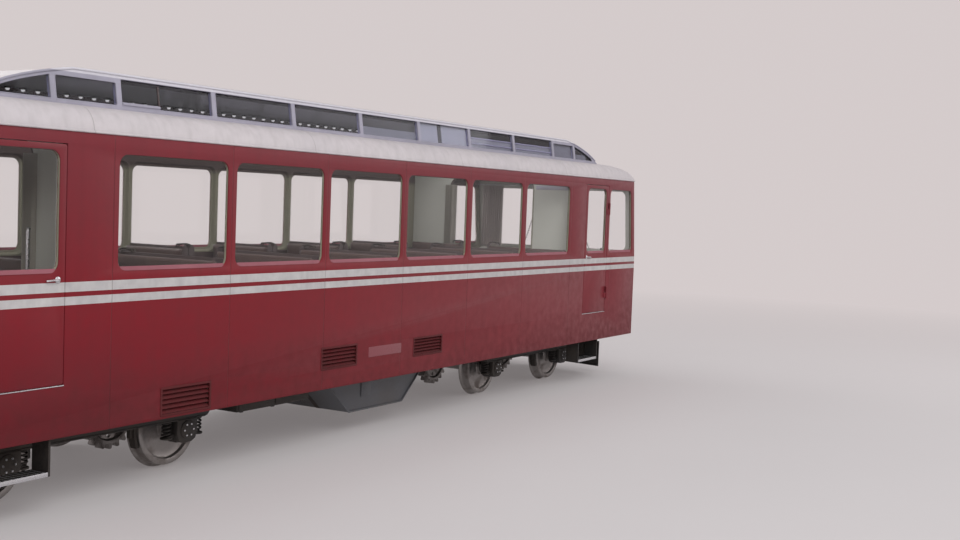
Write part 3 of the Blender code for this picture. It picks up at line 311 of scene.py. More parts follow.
TANK = dusty_steel("tank_enamel", (0.085, 0.088, 0.100), (0.10, 0.085, 0.075), 0.4, 0.0, 8.0, 0.35)
WHEEL = bare_metal("wheel_steel", (0.30, 0.28, 0.27), 0.35, rust=0.55)
BRIGHT = bare_metal("bright_metal", (0.62, 0.62, 0.64), 0.22, rust=0.05)
RUBBER = soft_rubber("black_rubber", (0.018, 0.018, 0.019))
GLASS = clear_glass("window_glass", (0.985, 0.985, 0.985), 1.25)
SMOKED = clear_glass("roof_glass", (0.76, 0.77, 0.86), 1.18)
LENS = lamp_glass("lamp_lens", (0.75, 0.74, 0.70))
LIT = lamp_glass("lit_lamp", (0.80, 0.78, 0.74), Emission_Color=(1.0, 0.97, 0.92), Emission_Strength=0.5)
RED_LENS = lamp_glass("tail_lamp_lens", (0.40, 0.012, 0.010))


# Mesh tools

def arc(centre, radius, start, end, steps):
    a, b = radius if isinstance(radius, tuple) else (radius, radius)
    angles = [math.radians(start + (end - start) * i / steps) for i in range(steps + 1)]
    return [(centre[0] + a * math.cos(t), centre[1] + b * math.sin(t)) for t in angles]


def circle(centre, radius, count, start=0.0):
    return arc(centre, radius, start, start + 360, count)[:-1]


def rounded(corners, radius, steps=8):
    points = []
    for i, corner in enumerate(corners):
        here = Vector(corner)
        before = (Vector(corners[i - 1]) - here).normalized()
        after = (Vector(corners[(i + 1) % len(corners)]) - here).normalized()
        half = before.angle(after) / 2
        centre = here + (before + after).normalized() * radius / math.sin(half)
        start = here + before * radius / math.tan(half) - centre
        turn = (math.pi - 2 * half) / steps
        points += [tuple(centre + Matrix.Rotation(turn * k, 2) @ start) for k in range(steps + 1)]
    return points


def rectangle(low, high):
    return [(low[0], low[1]), (high[0], low[1]), (high[0], high[1]), (low[0], high[1])]


def mirrored(points, end):
    return points if end > 0 else [(-u, v) for u, v in reversed(points)]


def end_x(z, inset=0.0):
    """Where the raked end's face is at a height."""
    return END_X - END_RAKE * max(0.0, (z - BELT_Z) / (EAVE_Z - BELT_Z)) - inset


def mesh_of(bm, name="work"):
    mesh = bpy.data.meshes.new(name)
    bm.to_mesh(mesh)
    bm.free()
    return mesh


def placed(name, data):
    made = bpy.data.objects.new(name, data)
    bpy.context.scene.collection.objects.link(made)
    return made


def evaluated(made):
    return bpy.data.meshes.new_from_object(made.evaluated_get(bpy.context.evaluated_depsgraph_get()))


def apply(made):
    mesh, old = evaluated(made), made.data
    made.modifiers.clear()
    made.data = mesh
    mesh.name = made.name
    bpy.data.meshes.remove(old)


def poured(mesh, into=None):
    """A mesh's faces as a bmesh, or added to one."""
    into = bmesh.new() if into is None else into
    into.from_mesh(mesh)
    bpy.data.meshes.remove(mesh)
    return into


def together(*parts):
    whole = bmesh.new()
    for bm in parts:
        poured(mesh_of(bm), whole)
    return whole


def outward(bm):
    """Turns all faces of a closed mesh outwards."""
    bm.normal_update()
    bmesh.ops.recalc_face_normals(bm, faces=bm.faces)
    if bm.calc_volume(signed=True) < 0:
        bmesh.ops.reverse_faces(bm, faces=bm.faces)
    return bm


def slab(outline, axis, low, high, holes=(), bevel=0.0):
    """A flat outline with holes, extruded along an axis; its edges are rounded by the bevel."""
    curve = bpy.data.curves.new("outline", "CURVE")
    curve.dimensions, curve.fill_mode = "2D", "BOTH"
    curve.bevel_depth, curve.bevel_resolution, curve.offset = bevel, 1, -bevel
    curve.extrude = abs(high - low) / 2 - bevel
    for points in (outline, *holes):
        spline = curve.splines.new("POLY")
        spline.points.add(len(points) - 1)
        for point, (u, v) in zip(spline.points, points):
            point.co = (u, v, 0.0, 1.0)
        spline.use_cyclic_u = True
    guide = placed("outline", curve)
    made = poured(evaluated(guide))
    bpy.data.objects.remove(guide, do_unlink=True)
    bmesh.ops.remove_doubles(made, verts=made.verts, dist=0.00002)
    bmesh.ops.recalc_face_normals(made, faces=made.faces)
    middle = Vector((0.0, 0.0, 0.0))
    middle["xyz".index(axis)] = (low + high) / 2
    bmesh.ops.transform(made, matrix=Matrix.Translation(middle) @ FRAMES[axis], verts=made.verts)
    return made


def skinned(rings, closed=False, caps=True):
    """A bmesh through rings of points; a ring of one point closes it."""
    made = bmesh.new()
    rings = [[made.verts.new(point) for point in ring] for ring in rings]
    for a, b in zip(rings, rings[1:] + rings[:1] if closed else rings[1:]):
        count = max(len(a), len(b))
        for k in range(count):
            j = (k + 1) % count
            if len(a) == 1:
                made.faces.new((a[0], b[k], b[j]))
            elif len(b) == 1:
                made.faces.new((a[k], b[0], a[j]))
            else:
                made.faces.new((a[k], a[j], b[j], b[k]))
    if caps and not closed:
        made.faces.new(rings[0][::-1])
        made.faces.new(rings[-1])
    return made


def lofted(loops, ring=False):
    return outward(skinned(loops, ring))


def pipe(points, radius, closed=False, sides=10):
    """A round tube along points, swept with the least twist."""
    points = [Vector(p) for p in points]
    count, rings, side = len(points), [], None
    for i, point in enumerate(points):
        before = points[i - 1] if i or closed else point
        after = points[(i + 1) % count] if i + 1 < count or closed else point
        ahead = (after - before).normalized()
        side = side or ahead.orthogonal().normalized()
        side = (side - ahead * side.dot(ahead)).normalized()
        up = ahead.cross(side)
        rings.append([point + side * u + up * v for u, v in circle((0.0, 0.0), radius, sides)])
    if closed:
        shift = min(range(sides), key=lambda k: (rings[0][k] - rings[-1][0]).length)
        made = skinned(rings, caps=False)
        made.verts.ensure_lookup_table()
        last = [made.verts[(count - 1) * sides + k] for k in range(sides)]
        first = [made.verts[(k + shift) % sides] for k in range(sides)]
        for k in range(sides):
            j = (k + 1) % sides
            made.faces.new((last[k], last[j], first[j], first[k]))
    else:
        made = skinned(rings)
    bmesh.ops.recalc_face_normals(made, faces=made.faces)
    return made


def turned(profile, place, axis, steps=48):
    """A profile of radius and distance along an axis, turned about it; closed where the radius is 0."""
    made = skinned([[(u, v, along) for u, v in circle((0.0, 0.0), radius, steps if radius else 1)]
                    for radius, along in profile], caps=False)
    bmesh.ops.recalc_face_normals(made, faces=made.faces)
    turn = {"x": Matrix.Rotation(math.pi / 2, 4, "Y"), "y": Matrix.Rotation(-math.pi / 2, 4, "X"),
            "z": Matrix.Identity(4)}[axis]
    bmesh.ops.transform(made, matrix=Matrix.Translation(place) @ turn, verts=made.verts)
    return made


def cuboid(low, high, bevel=0.0, segments=2):
    size = [abs(b - a) for a, b in zip(low, high)]
    centre = [(a + b) / 2 for a, b in zip(low, high)]
    made = bmesh.new()
    bmesh.ops.create_cube(made, size=1.0, matrix=Matrix.Translation(centre) @ Matrix.Diagonal((*size, 1.0)))
    if bevel:
        bmesh.ops.bevel(made, geom=made.edges[:], offset=min(bevel, min(size) * 0.45), segments=segments,
                        profile=0.5, affect="EDGES")
    return made


def boolean(base, tool, operation="DIFFERENCE"):
    """base cut by tool, both as bmesh; gives back a bmesh."""
    pair = [placed("solid", mesh_of(bm)) for bm in (base, tool)]
    modifier = pair[0].modifiers.new("cut", "BOOLEAN")
    modifier.operation, modifier.solver, modifier.object = operation, "EXACT", pair[1]
    mesh = evaluated(pair[0])
    for made in pair:
        old = made.data
        bpy.data.objects.remove(made, do_unlink=True)
        bpy.data.meshes.remove(old)
    return poured(mesh)


class Piece:
    """A mesh under construction, with its materials; end -1 turns all of it about the car's middle."""

    def __init__(self, name, body, slot, *replaced, end=1):
        self.name, self.body, self.slot, self.replaced, self.end = name, body, slot, replaced, end
        self.bm, self.materials = bmesh.new(), []

    def take(self, other, material):
        """Moves another bmesh into this one."""
        if self.end < 0:
            bmesh.ops.rotate(other, verts=other.verts, cent=(0, 0, 0), matrix=Matrix.Rotation(math.pi, 3, "Z"))
        first = len(self.bm.faces)
        poured(mesh_of(other), self.bm)
        if material not in self.materials:
            self.materials.append(material)
        self.bm.faces.ensure_lookup_table()
        for face in self.bm.faces[first:]:
            face.material_index = self.materials.index(material)

    def repaint(self, material, chosen):
        """Gives the faces that a test of centre and normal picks their own material."""
        self.materials.append(material)
        for face in self.bm.faces:
            if chosen(face.calc_center_median(), face.normal):
                face.material_index = len(self.materials) - 1

    def box(self, low, high, material, bevel=0.0, segments=2):
        self.take(cuboid(low, high, bevel, segments), material)

    def plate(self, outline, axis, low, high, material, holes=(), bevel=0.0):
        self.take(slab(outline, axis, low, high, holes, bevel), material)

    def tube(self, points, radius, material, closed=False, sides=10):
        self.take(pipe(points, radius, closed, sides), material)

    def lathe(self, profile, place, axis, material, steps=48, way=1):
        self.take(turned([(r, way * u) for r, u in profile], place, axis, steps), material)

    def done(self, angle=32.0, rounding=0.0):
        made = placed(self.name, mesh_of(self.bm, self.name))
        for material in self.materials:
            made.data.materials.append(material)
        if rounding:
            bevel = made.modifiers.new("rounding", "BEVEL")
            bevel.width, bevel.segments = rounding, 2
            bevel.limit_method, bevel.angle_limit = "ANGLE", math.radians(40)
            apply(made)
        smooth(made.data, angle)
        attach(made, self.body)
        if self.replaced:
            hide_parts(*self.replaced)
        return made


def smooth(mesh, angle):
    bm = bmesh.new()
    bm.from_mesh(mesh)
    for face in bm.faces:
        face.smooth = True
    for edge in bm.edges:
        edge.smooth = len(edge.link_faces) == 2 and edge.calc_face_angle(0.0) < math.radians(angle)
    bm.to_mesh(mesh)
    bm.free()


def bolt(piece, place, axis, way, radius=0.009, rise=0.010):
    """A small hexagonal head that stands out along an axis."""
    profile = [(0.0, rise + 0.001), (radius, rise), (radius + 0.001, 0.0), (0.0, 0.0)]
    piece.lathe(profile, place, axis, BRIGHT, 6, way)


# Body sides, doors and windows

def window_loop(corners, side, depth, inset=0.0):
    """A window's rounded outline at a depth behind the skin, a little smaller by the inset."""
    spans = [(min(c[i] for c in corners), max(c[i] for c in corners)) for i in (0, 1)]
    shares = [((a + b) / 2, 1 - inset / ((b - a) / 2)) for a, b in spans]
    points = ([m + (p - m) * k for p, (m, k) in zip(point, shares)] for point in rounded(corners, WINDOW_R))
    return [(x, side * (HALF_WIDTH - depth), z) for x, z in points]


def wall_windows():
    """Corners of the saloon windows and of the two cab windows of a side."""
    half, (x0, x1) = WINDOW_WIDTH / 2, CAB_WINDOW_X
    lean = end_x(WINDOW_Z[0]) - end_x(WINDOW_Z[1])
    cab = [(x0, WINDOW_Z[0]), (x1, WINDOW_Z[0]), (x1 - lean, WINDOW_Z[1]), (x0, WINDOW_Z[1])]
    middles = [(i - 2.5) * WINDOW_PITCH for i in range(6)]
    return [rectangle((x - half, WINDOW_Z[0]), (x + half, WINDOW_Z[1])) for x in middles] + \
        [mirrored(cab, end) for end in ENDS.values()]


def window_cutter(corners, side, wider=0.0):
    """Cuts a window out; behind the glass it may grow wider."""
    steps = ((-0.02, 0.0), (GLASS_DEPTH, REVEAL / 2), (SKIN_DEPTH, REVEAL / 2 - wider / 2), (WALL + 0.02, -wider))
    return lofted([window_loop(corners, side, depth, inset) for depth, inset in steps])


def glaze(panes, trim, corners, side):
    """A pane near the skin with a section around it, and side beads and a sloping sill in front, painted paler as a
    painted highlight.
    """
    panes.take(lofted([window_loop(corners, side, GLASS_DEPTH + d) for d in (0.0, 0.006)]), GLASS)
    for depth, inset, radius in ((0.010, 0.001, 0.006), (-0.004, 0.003, 0.005)):
        trim.tube(window_loop(corners, side, GLASS_DEPTH + depth, inset), radius, TRIM, True, 8)
    x0, x1 = (f(c[0] for c in corners) for f in (min, max))
    sill = [(side * (HALF_WIDTH + u), WINDOW_Z[0] + v) for u, v in
            ((0.003, -0.004), (0.003, 0.003), (-0.016, 0.036), (-0.021, 0.036), (-0.021, -0.004))]
    sight = lofted([window_loop(corners, side, d, 0.002) for d in (-0.01, 0.03)])
    # the sill is painted paler, a painted highlight
    trim.take(boolean(slab(sill, "x", x0 + 0.002, x1 - 0.002), sight, "INTERSECT"), SILL_HIGHLIGHT)


def wall_layer(side, outer, inner, wider=0.0):
    end_line = [(end_x(z, END_DEPTH), z) for z in (SKIRT_Z, BELT_Z, EAVE_Z)]
    wall = slab(end_line + [(-x, z) for x, z in reversed(end_line)], "y", side * outer, side * inner)
    tools = [window_cutter(c, side, wider) for c in wall_windows()]
    holes = [(end * DOOR_X[0], end * DOOR_X[1], FLOOR_Z - 0.001, 2.97) for end in ENDS.values()]
    holes += [(-side * (x0 + 0.012), -side * (x1 - 0.012), z0 + 0.012, z1 - 0.012) for x0, x1, z0, z1 in GRILLES]
    tools += [cuboid((x0, side * 1.2, z0), (x1, side * 1.6, z1)) for x0, x1, z0, z1 in holes]
    return boolean(wall, together(*tools))


def make_side(name, side):
    shell = Piece(f"shell_{name}", "car", "red_paint", f"side_{name}")
    shell.take(wall_layer(side, HALF_WIDTH, HALF_WIDTH - SKIN_DEPTH), RED)
    shell.repaint(TRIM, lambda centre, normal: side * normal.y < -0.8 or abs(centre.y) < HALF_WIDTH - GLASS_DEPTH)
    shell.done(rounding=0.004)
    lining = Piece(f"side_lining_{name}", "car", "lining")
    lining.take(wall_layer(side, HALF_WIDTH - SKIN_DEPTH - 0.0005, INNER_Y, 0.045), TRIM)
    panes = Piece(f"panes_{name}", "car", "glass", f"glass_{name}", *(f"cab_glass_{name}_{end}" for end in ENDS))
    trim = Piece(f"window_rubbers_{name}", "car", "dark_steel")
    section = ((-0.004, -0.050), (0.003, -0.049), (0.005, -0.044), (0.003, -0.037), (-0.004, -0.035))
    for corners in wall_windows():
        lining.take(lofted([window_loop(corners, side, WALL + d, w) for d, w in section], ring=True), TRIM)
        glaze(panes, trim, corners, side)
    for x0, x1 in SIDE_SHELL_X:
        lining.box((x0, side * (INNER_Y - 0.004), 1.14), (x1, side * (INNER_Y + 0.004), 1.90), SHELL, 0.001)
    lining.done()
    panes.done()
    trim.done(60)
    make_grilles(name, side)
    make_door_frames(name, side)


def make_grilles(name, side):
    """Louvred grilles with a raised frame and downward slats, and the blank plate between two of them."""
    grilles = Piece(f"grilles_{name}", "car", "red_paint")
    for x0, x1, z0, z1 in GRILLES:
        outer, inner = (mirrored(rounded(rectangle((x0 + d, z0 + d), (x1 - d, z1 - d)), r, steps), -side)
                        for d, r, steps in ((0.0, 0.018, 4), (0.022, 0.008, 3)))
        grilles.plate(outer, "y", side * (HALF_WIDTH - 0.01), side * (HALF_WIDTH + 0.004), LOUVRE, [inner], 0.002)
        pitch = (z1 - z0 - 0.044) / 5
        for i in range(5):
            z = z0 + 0.022 + pitch * (i + 0.5)
            slat = [(side * (HALF_WIDTH - u), z + pitch * v) for u, v in
                    ((0.002, -0.42), (0.005, -0.46), (0.040, 0.34), (0.037, 0.40))]
            grilles.plate(slat, "x", -side * (x0 + 0.02), -side * (x1 - 0.02), LOUVRE)
        grilles.box((-side * (x0 + 0.013), side * 1.393, z0 + 0.013),
                    (-side * (x1 - 0.013), side * 1.398, z1 - 0.013), DARK)
    plate = mirrored(rounded(rectangle(*BLANK_PLATE), 0.012, 4), -side)
    grilles.plate(plate, "y", side * (HALF_WIDTH - 0.002), side * (HALF_WIDTH + 0.003), PLATE, bevel=0.001)
    grilles.done()


def make_door_frames(name, side):
    """Sill plates and rubber seals of the doorways, and the hinge halves on the wall."""
    frames = Piece(f"door_frames_{name}", "car", "dark_steel")
    for end in ENDS.values():
        a, b = sorted(end * x for x in DOOR_X)
        frames.box((a, side * 1.392, FLOOR_Z - 0.006), (b, side * 1.455, FLOOR_Z + 0.002), BRIGHT, 0.002)
        corners = ((a + 0.004, 1.075), (a + 0.004, 2.964), (b - 0.004, 2.964), (b - 0.004, 1.075))
        frames.tube([(x, side * 1.394, z) for x, z in corners], 0.0045, RUBBER, sides=6)
        for z in HINGE_HEIGHTS:
            hinge_half(frames, side, end, z + 0.0003, z + 0.09, end)
    frames.done()


def hinge_half(piece, side, end, low, high, way):
    x, y = end * DOOR_X[1], side * HINGE_Y
    profile = [(0.0, low), (0.0125, low), (0.0135, low + 0.003), (0.0135, high - 0.003), (0.0125, high),
               (0.0, high)]
    piece.lathe(profile, (x, y, 0.0), "z", RED, 20)
    tab = [(x + way * u, side * v) for u, v in
           ((0.008, HINGE_Y), (0.049, HINGE_Y - 0.014), (0.049, 1.446), (0.008, 1.446))]
    piece.plate(tab, "z", low + 0.004, high - 0.004, RED, bevel=0.0015)
    for z in (low + 0.025, high - 0.025):
        piece.lathe([(0.0, 0.0), (0.006, 0.0), (0.006, 0.003), (0.003, 0.0055), (0.0, 0.006)],
                    (x + way * 0.034, y - side * 0.0105, z), "y", BRIGHT, 12)


def make_door(side_name, side, end_name, end):
    body = f"door_{side_name}_{end_name}"
    corners = mirrored(rectangle(*zip(DOOR_WINDOW_X, WINDOW_Z)), end)
    door = Piece(f"{body}_leaf", body, "red_paint", body)
    inner = Piece(f"{body}_lining", body, "lining")
    a, b = sorted((end * (DOOR_X[0] + 0.006), end * (DOOR_X[1] - 0.006)))
    outer, middle, back = DOOR_Y
    layers = (door, 0.0, outer, middle, DOOR_RED), (inner, 0.012, middle - 0.0001, back, LINING)
    for piece, inset, near, far, paint in layers:
        leaf = rounded(rectangle((a + inset, DOOR_Z[0] + inset), (b - inset, DOOR_Z[1] - inset)), 0.02, 4)
        piece.take(boolean(slab(leaf, "y", side * near, side * far), window_cutter(corners, side)), paint)
    for z in HINGE_HEIGHTS:
        hinge_half(door, side, end, z - 0.09, z, -end)
    door.done(rounding=0.003)
    inner.done()
    panes = Piece(f"{body}_pane", body, "glass", f"door_glass_{side_name}_{end_name}")
    trim = Piece(f"{body}_rubbers", body, "dark_steel")
    glaze(panes, trim, corners, side)
    panes.done()
    trim.done(60)
    handles = Piece(f"{body}_handles", body, "wheel_steel")
    x = end * (DOOR_X[0] + HANDLE_X)
    rose = [(0.0, 0.0), (0.026, 0.0), (0.026, 0.004), (0.020, 0.008), (0.0, 0.009)]
    handles.lathe(rose, (x, side * outer, HANDLE_Z), "y", BRIGHT, 28, side)
    lever = ((0.0, 1.452, 0.0), (0.0, 1.468, 0.0), (0.006, 1.474, 0.0), (0.060, 1.474, 0.0),
             (0.105, 1.472, -0.004), (0.118, 1.464, -0.006))
    bar = ((0.0, 1.402, -0.45), (0.0, 1.372, -0.45), (0.0, 1.366, -0.43), (0.0, 1.366, -0.12),
           (0.0, 1.372, -0.10), (0.0, 1.402, -0.10))
    for points, radius in ((lever, 0.0075), (bar, 0.010)):
        handles.tube([(x + end * u, side * v, HANDLE_Z + w) for u, v, w in points], radius, BRIGHT, sides=12)
    handles.done(50)


# Ends

def end_loop(side, depth, inset=0.0):
    """A windshield's rounded outline on the raked end, at a depth behind it."""
    y0, y1 = sorted(side * y for y in WINDSHIELD_Y)
    points = rounded(rectangle((y0 + inset, WINDOW_Z[0] + inset), (y1 - inset, WINDOW_Z[1] - inset)), WINDOW_R)
    return [(end_x(z, depth), y, z) for y, z in points]


def make_end(name, end):
    section = [(end_x(z), z) for z in (SKIRT_Z, BELT_Z, EAVE_Z)]
    section += [(end_x(z, END_DEPTH - 0.0003), z) for z in (EAVE_Z, BELT_Z, SKIRT_Z)]
    wall = slab(section, "y", -HALF_WIDTH, HALF_WIDTH)
    bmesh.ops.dissolve_limit(wall, angle_limit=0.01, verts=wall.verts, edges=wall.edges)
    corners = [e for e in wall.edges if abs(e.verts[0].co.z - e.verts[1].co.z) > 0.1 and
               all(abs(v.co.x - end_x(v.co.z)) < 0.001 and abs(abs(v.co.y) - HALF_WIDTH) < 0.001 for v in e.verts)]
    bmesh.ops.bevel(wall, geom=corners, offset=END_CORNER_R, offset_type="OFFSET", segments=8, profile=0.5,
                    affect="EDGES")
    tools = [lofted([end_loop(side, d, i) for d, i in ((-0.05, -0.012), (END_DEPTH + 0.05, 0.022))])
             for side in SIDES.values()]
    tools.append(cuboid((6.4, -0.20, 0.6), (6.72, 0.20, 0.86)))
    tools += [turned([(0.0, -0.05), (r - 0.012, -0.05), (r - 0.012, 0.1), (0.0, 0.1)], (end_x(z), y, z), "x")
              for z, y, r in LAMPS]
    body = Piece(f"end_shell_{name}", "car", "red_paint", f"end_{name}", end=end)
    body.take(boolean(wall, together(*tools)), DOOR_RED)
    body.repaint(LINING, lambda centre, normal: normal.x * end < -0.8 and abs(centre.x) < END_X - 0.09)
    body.done(rounding=0.004)
    panes = Piece(f"windshield_panes_{name}", "car", "glass", f"windshield_{name}", end=end)
    rubber = Piece(f"windshield_rubbers_{name}", "car", "dark_steel", end=end)
    for side in SIDES.values():
        panes.take(lofted([end_loop(side, d) for d in (0.040, 0.047)]), GLASS)
        for d in (0.037, 0.049):
            rubber.tube(end_loop(side, d, 0.005), 0.010, RUBBER, True, 8)
    panes.done()
    rubber.done(60)
    make_curtain(name, end)
    make_end_fittings(name, end)


def make_curtain(name, end):
    """A drawn-back sun curtain inside the windshield: wavy cloth that spreads a little downwards, on a rod."""
    (low, high), (first, last), waves, levels = CURTAIN_Z, CURTAIN_Y, CURTAIN_FOLDS, 13
    rod = Piece(f"cab_curtain_rod_{name}", "car", "wheel_steel", end=end)
    rod.tube([(ROD_X, 0.06, high + 0.017), (ROD_X, 1.389, high + 0.017)], 0.008, BRIGHT, sides=12)
    for k in range(waves):
        y = first + (last - first) * (k + 0.5) / waves
        ring = circle((ROD_X, high + 0.0125), 0.0125, 16)
        rod.tube([(x, y, z) for x, z in ring], 0.0018, BRIGHT, True, 6)
    carrier = rod.done(50)
    loops, width = [], 0.0
    for level in range(levels):
        t = level / (levels - 1)
        wave = []
        for i in range(16 * waves + 1):
            u = i / (16 * waves)
            swing = 0.0085 + 0.0035 * t + 0.0015 * math.sin(5.0 * u + 2.0 * t)
            x = ROD_X - 0.001 + swing * math.cos(2 * math.pi * waves * u + 0.5 * math.sin(3.0 * t + 9.0 * u))
            wave.append(Vector((x, first + (last - first) * u + 0.003 * t * math.sin(14.0 * u))))
        width += sum((b - a).length for a, b in zip(wave, wave[1:])) / levels
        z = high + (low - high) * t
        loops.append([(x, y, z) for x, y in wave] + [(x + 0.002, y, z) for x, y in reversed(wave)])
    cloth = Piece(f"cab_curtain_{name}", "car", "lining", end=end)
    cloth.take(lofted(loops), CURTAIN)
    cloth.done(50)


def make_end_fittings(name, end):
    """Lamps, wipers and hand rails on one end."""
    lamps = Piece(f"lamps_{name}", "car", "wheel_steel", end=end)
    for z, y, r in LAMPS:
        rim = [(r - 0.016, -0.03), (r - 0.016, 0.018), (r - 0.010, 0.028), (r - 0.003, 0.026), (r + 0.001, 0.012),
               (r + 0.001, -0.005)]
        bowl = [(0.0, -0.045), (r * 0.30, -0.043), (r * 0.65, -0.030), (r - 0.018, -0.004), (r - 0.015, 0.012),
                (r * 0.7, 0.021), (r * 0.35, 0.026), (0.0, 0.028)]
        lamps.lathe(rim, (end_x(z), y, z), "x", BRIGHT, 56)
        lamps.lathe(bowl, (end_x(z), y, z), "x", LENS, 56)
    ring = [(0.046, -0.01), (0.046, 0.016), (0.040, 0.024), (0.034, 0.018), (0.034, 0.0)]
    dome = [(0.036, 0.0), (0.034, 0.016), (0.024, 0.026), (0.012, 0.030), (0.0, 0.031)]
    for side in SIDES.values():
        for profile, material in ((ring, BRIGHT), (dome, RED_LENS)):
            lamps.lathe(profile, (END_X, side * TAIL_LAMP[1], TAIL_LAMP[0]), "x", material, 40)
    lamps.done(50)
    rails = Piece(f"end_fittings_{name}", "car", "dark_steel", end=end)
    for side in SIDES.values():
        (y, z), (tip_y, tip_z) = WIPER_FOOT, WIPER_TIP
        foot = Vector((end_x(z + 0.005) + 0.012, side * y, z))
        tip = Vector((end_x(tip_z) + 0.006, side * tip_y, tip_z))
        arm = [foot + Vector((-0.03, 0, -0.005)), foot, foot.lerp(tip, 0.5) + Vector((0.012, 0, 0)), tip]
        rails.tube(arm, 0.006, RUBBER, sides=8)
        rails.tube([(end_x(z), tip.y, z) for z in WIPER_BLADE_Z], 0.008, RUBBER, sides=6)
        boss = [(0.0, -0.01), (0.022, -0.01), (0.022, 0.016), (0.012, 0.024), (0.0, 0.025)]
        rails.lathe(boss, (end_x(foot.z), foot.y, foot.z), "x", RUBBER, 24)
        rail = ((-0.01, 0.10), (0.035, 0.10), (0.045, 0.12), (0.045, 1.20), (0.035, 1.22), (-0.01, 1.22))
        rails.tube([(END_X + u, side * v, HAND_RAIL_Z) for u, v in rail], 0.011, BRIGHT, sides=12)
    rails.done(50)


# Roof

def shoulder(inset, base_z, steps=22):
    loops = []
    for i in range(steps + 1):
        t = math.radians(90 * i / steps)
        half_x = end_x(EAVE_Z) - ROOF_NOSE * (1 - math.cos(t)) - inset
        half_y = HALF_WIDTH - SHOULDER_INSET * (1 - math.cos(t)) - inset
        z = EAVE_Z + (SHOULDER_RISE - inset) * math.sin(t) if i else base_z
        corners = rectangle((-half_x, -half_y), (half_x, half_y))
        loops.append([(x, y, z) for x, y in rounded(corners, END_CORNER_R - inset / 2, 8)])
    return lofted(loops)


def faces_inwards(centre, normal):
    return normal.dot(Vector((0.0, centre.y, 3.0 * (centre.z - 2.6))).normalized()) < -0.35


def make_roof_base():
    roof = boolean(shoulder(0.0, EAVE_Z + 0.0003), shoulder(0.05, EAVE_Z - 0.02))
    base = Piece("roof_shoulder", "car", "white_paint", "roof_base")
    base.take(boolean(roof, cuboid((-4.95, -1.15, 3.2), (4.95, 1.15, 3.4))), WHITE)
    base.repaint(CEILING, faces_inwards)
    base.done(38)
    gutter = Piece("roof_gutter", "car", "white_paint")
    half_x, half_y = end_x(EAVE_Z) + 0.004, HALF_WIDTH + 0.004
    loop = rounded(rectangle((-half_x, -half_y), (half_x, half_y)), END_CORNER_R, 8)
    gutter.tube([(x, y, EAVE_Z + 0.004) for x, y in loop], 0.011, WHITE, True, 8)
    gutter.done(60)


def frame_y(z):
    return CLERESTORY_BASE_Y - (CLERESTORY_BASE_Y - CLERESTORY_TOP_Y) * (z - LEDGE_Z) / CLERESTORY_HEIGHT


def droop(x, inset=0.0):
    past = max(0.0, abs(x) - CROWN_STRAIGHT_X) / (CROWN_END_LENGTH - inset)
    return EAVE_Z + (CROWN_PEAK - inset) * math.sqrt(max(0.0, 1 - past ** 2))


def edge_z(x, inset=0.0):
    return min(CLERESTORY_TOP_Z - inset, droop(x, inset))


def crown(inset, base_z, steps=20):
    """The clerestory's solid; its crown flattens where the ends droop."""
    length = CROWN_END_LENGTH - inset
    turn = math.asin(math.sqrt(1 - ((SHOULDER_RISE + 0.006) / (CROWN_PEAK - inset)) ** 2))
    ends = [CROWN_STRAIGHT_X + length * math.sin(turn * i / 22) for i in range(23)]
    loops = []
    for x in [-x for x in reversed(ends)] + [-1.7, 0.0, 1.7] + ends:
        head = max(edge_z(x, inset), base_z + 0.004)
        rise, foot = max(droop(x, inset), head) - head, frame_y(base_z) - inset
        top = arc((0.0, head), (frame_y(head) - inset, rise), 0, 180, steps)
        loops.append([(x, foot, base_z)] + [(x, y, z) for y, z in top] + [(x, -foot, base_z)])
    return lofted(loops)


def pane_outlines():
    sill = LEDGE_Z + 0.032
    posts = sorted([-x for x in MULLIONS] + list(MULLIONS))
    panes = []
    for x0, x1 in zip(posts, posts[1:]):
        head = min(edge_z(x0, 0.032), edge_z(x1, 0.032))
        panes.append(rounded(rectangle((x0 + 0.025, sill), (x1 - 0.025, head)), 0.018, 4))
    x0 = MULLIONS[-1] + 0.025
    stations = [TIP_PANE_X + (x0 - TIP_PANE_X) * i / 8 for i in range(9)]
    tip = [(x0, sill), (TIP_PANE_X + 0.02, sill)] + [(x, edge_z(x, 0.032)) for x in stations]
    return panes + [mirrored(tip, end) for end in ENDS.values()]


def leaning(outline, side, near, far):
    """A flat outline in side view as a slab that leans with the clerestory's frames."""
    made = slab(outline, "y", 0.0, 1.0)
    for vert in made.verts:
        vert.co.y = side * (frame_y(vert.co.z) - (near if vert.co.y > 0.5 else far))
    return outward(made)


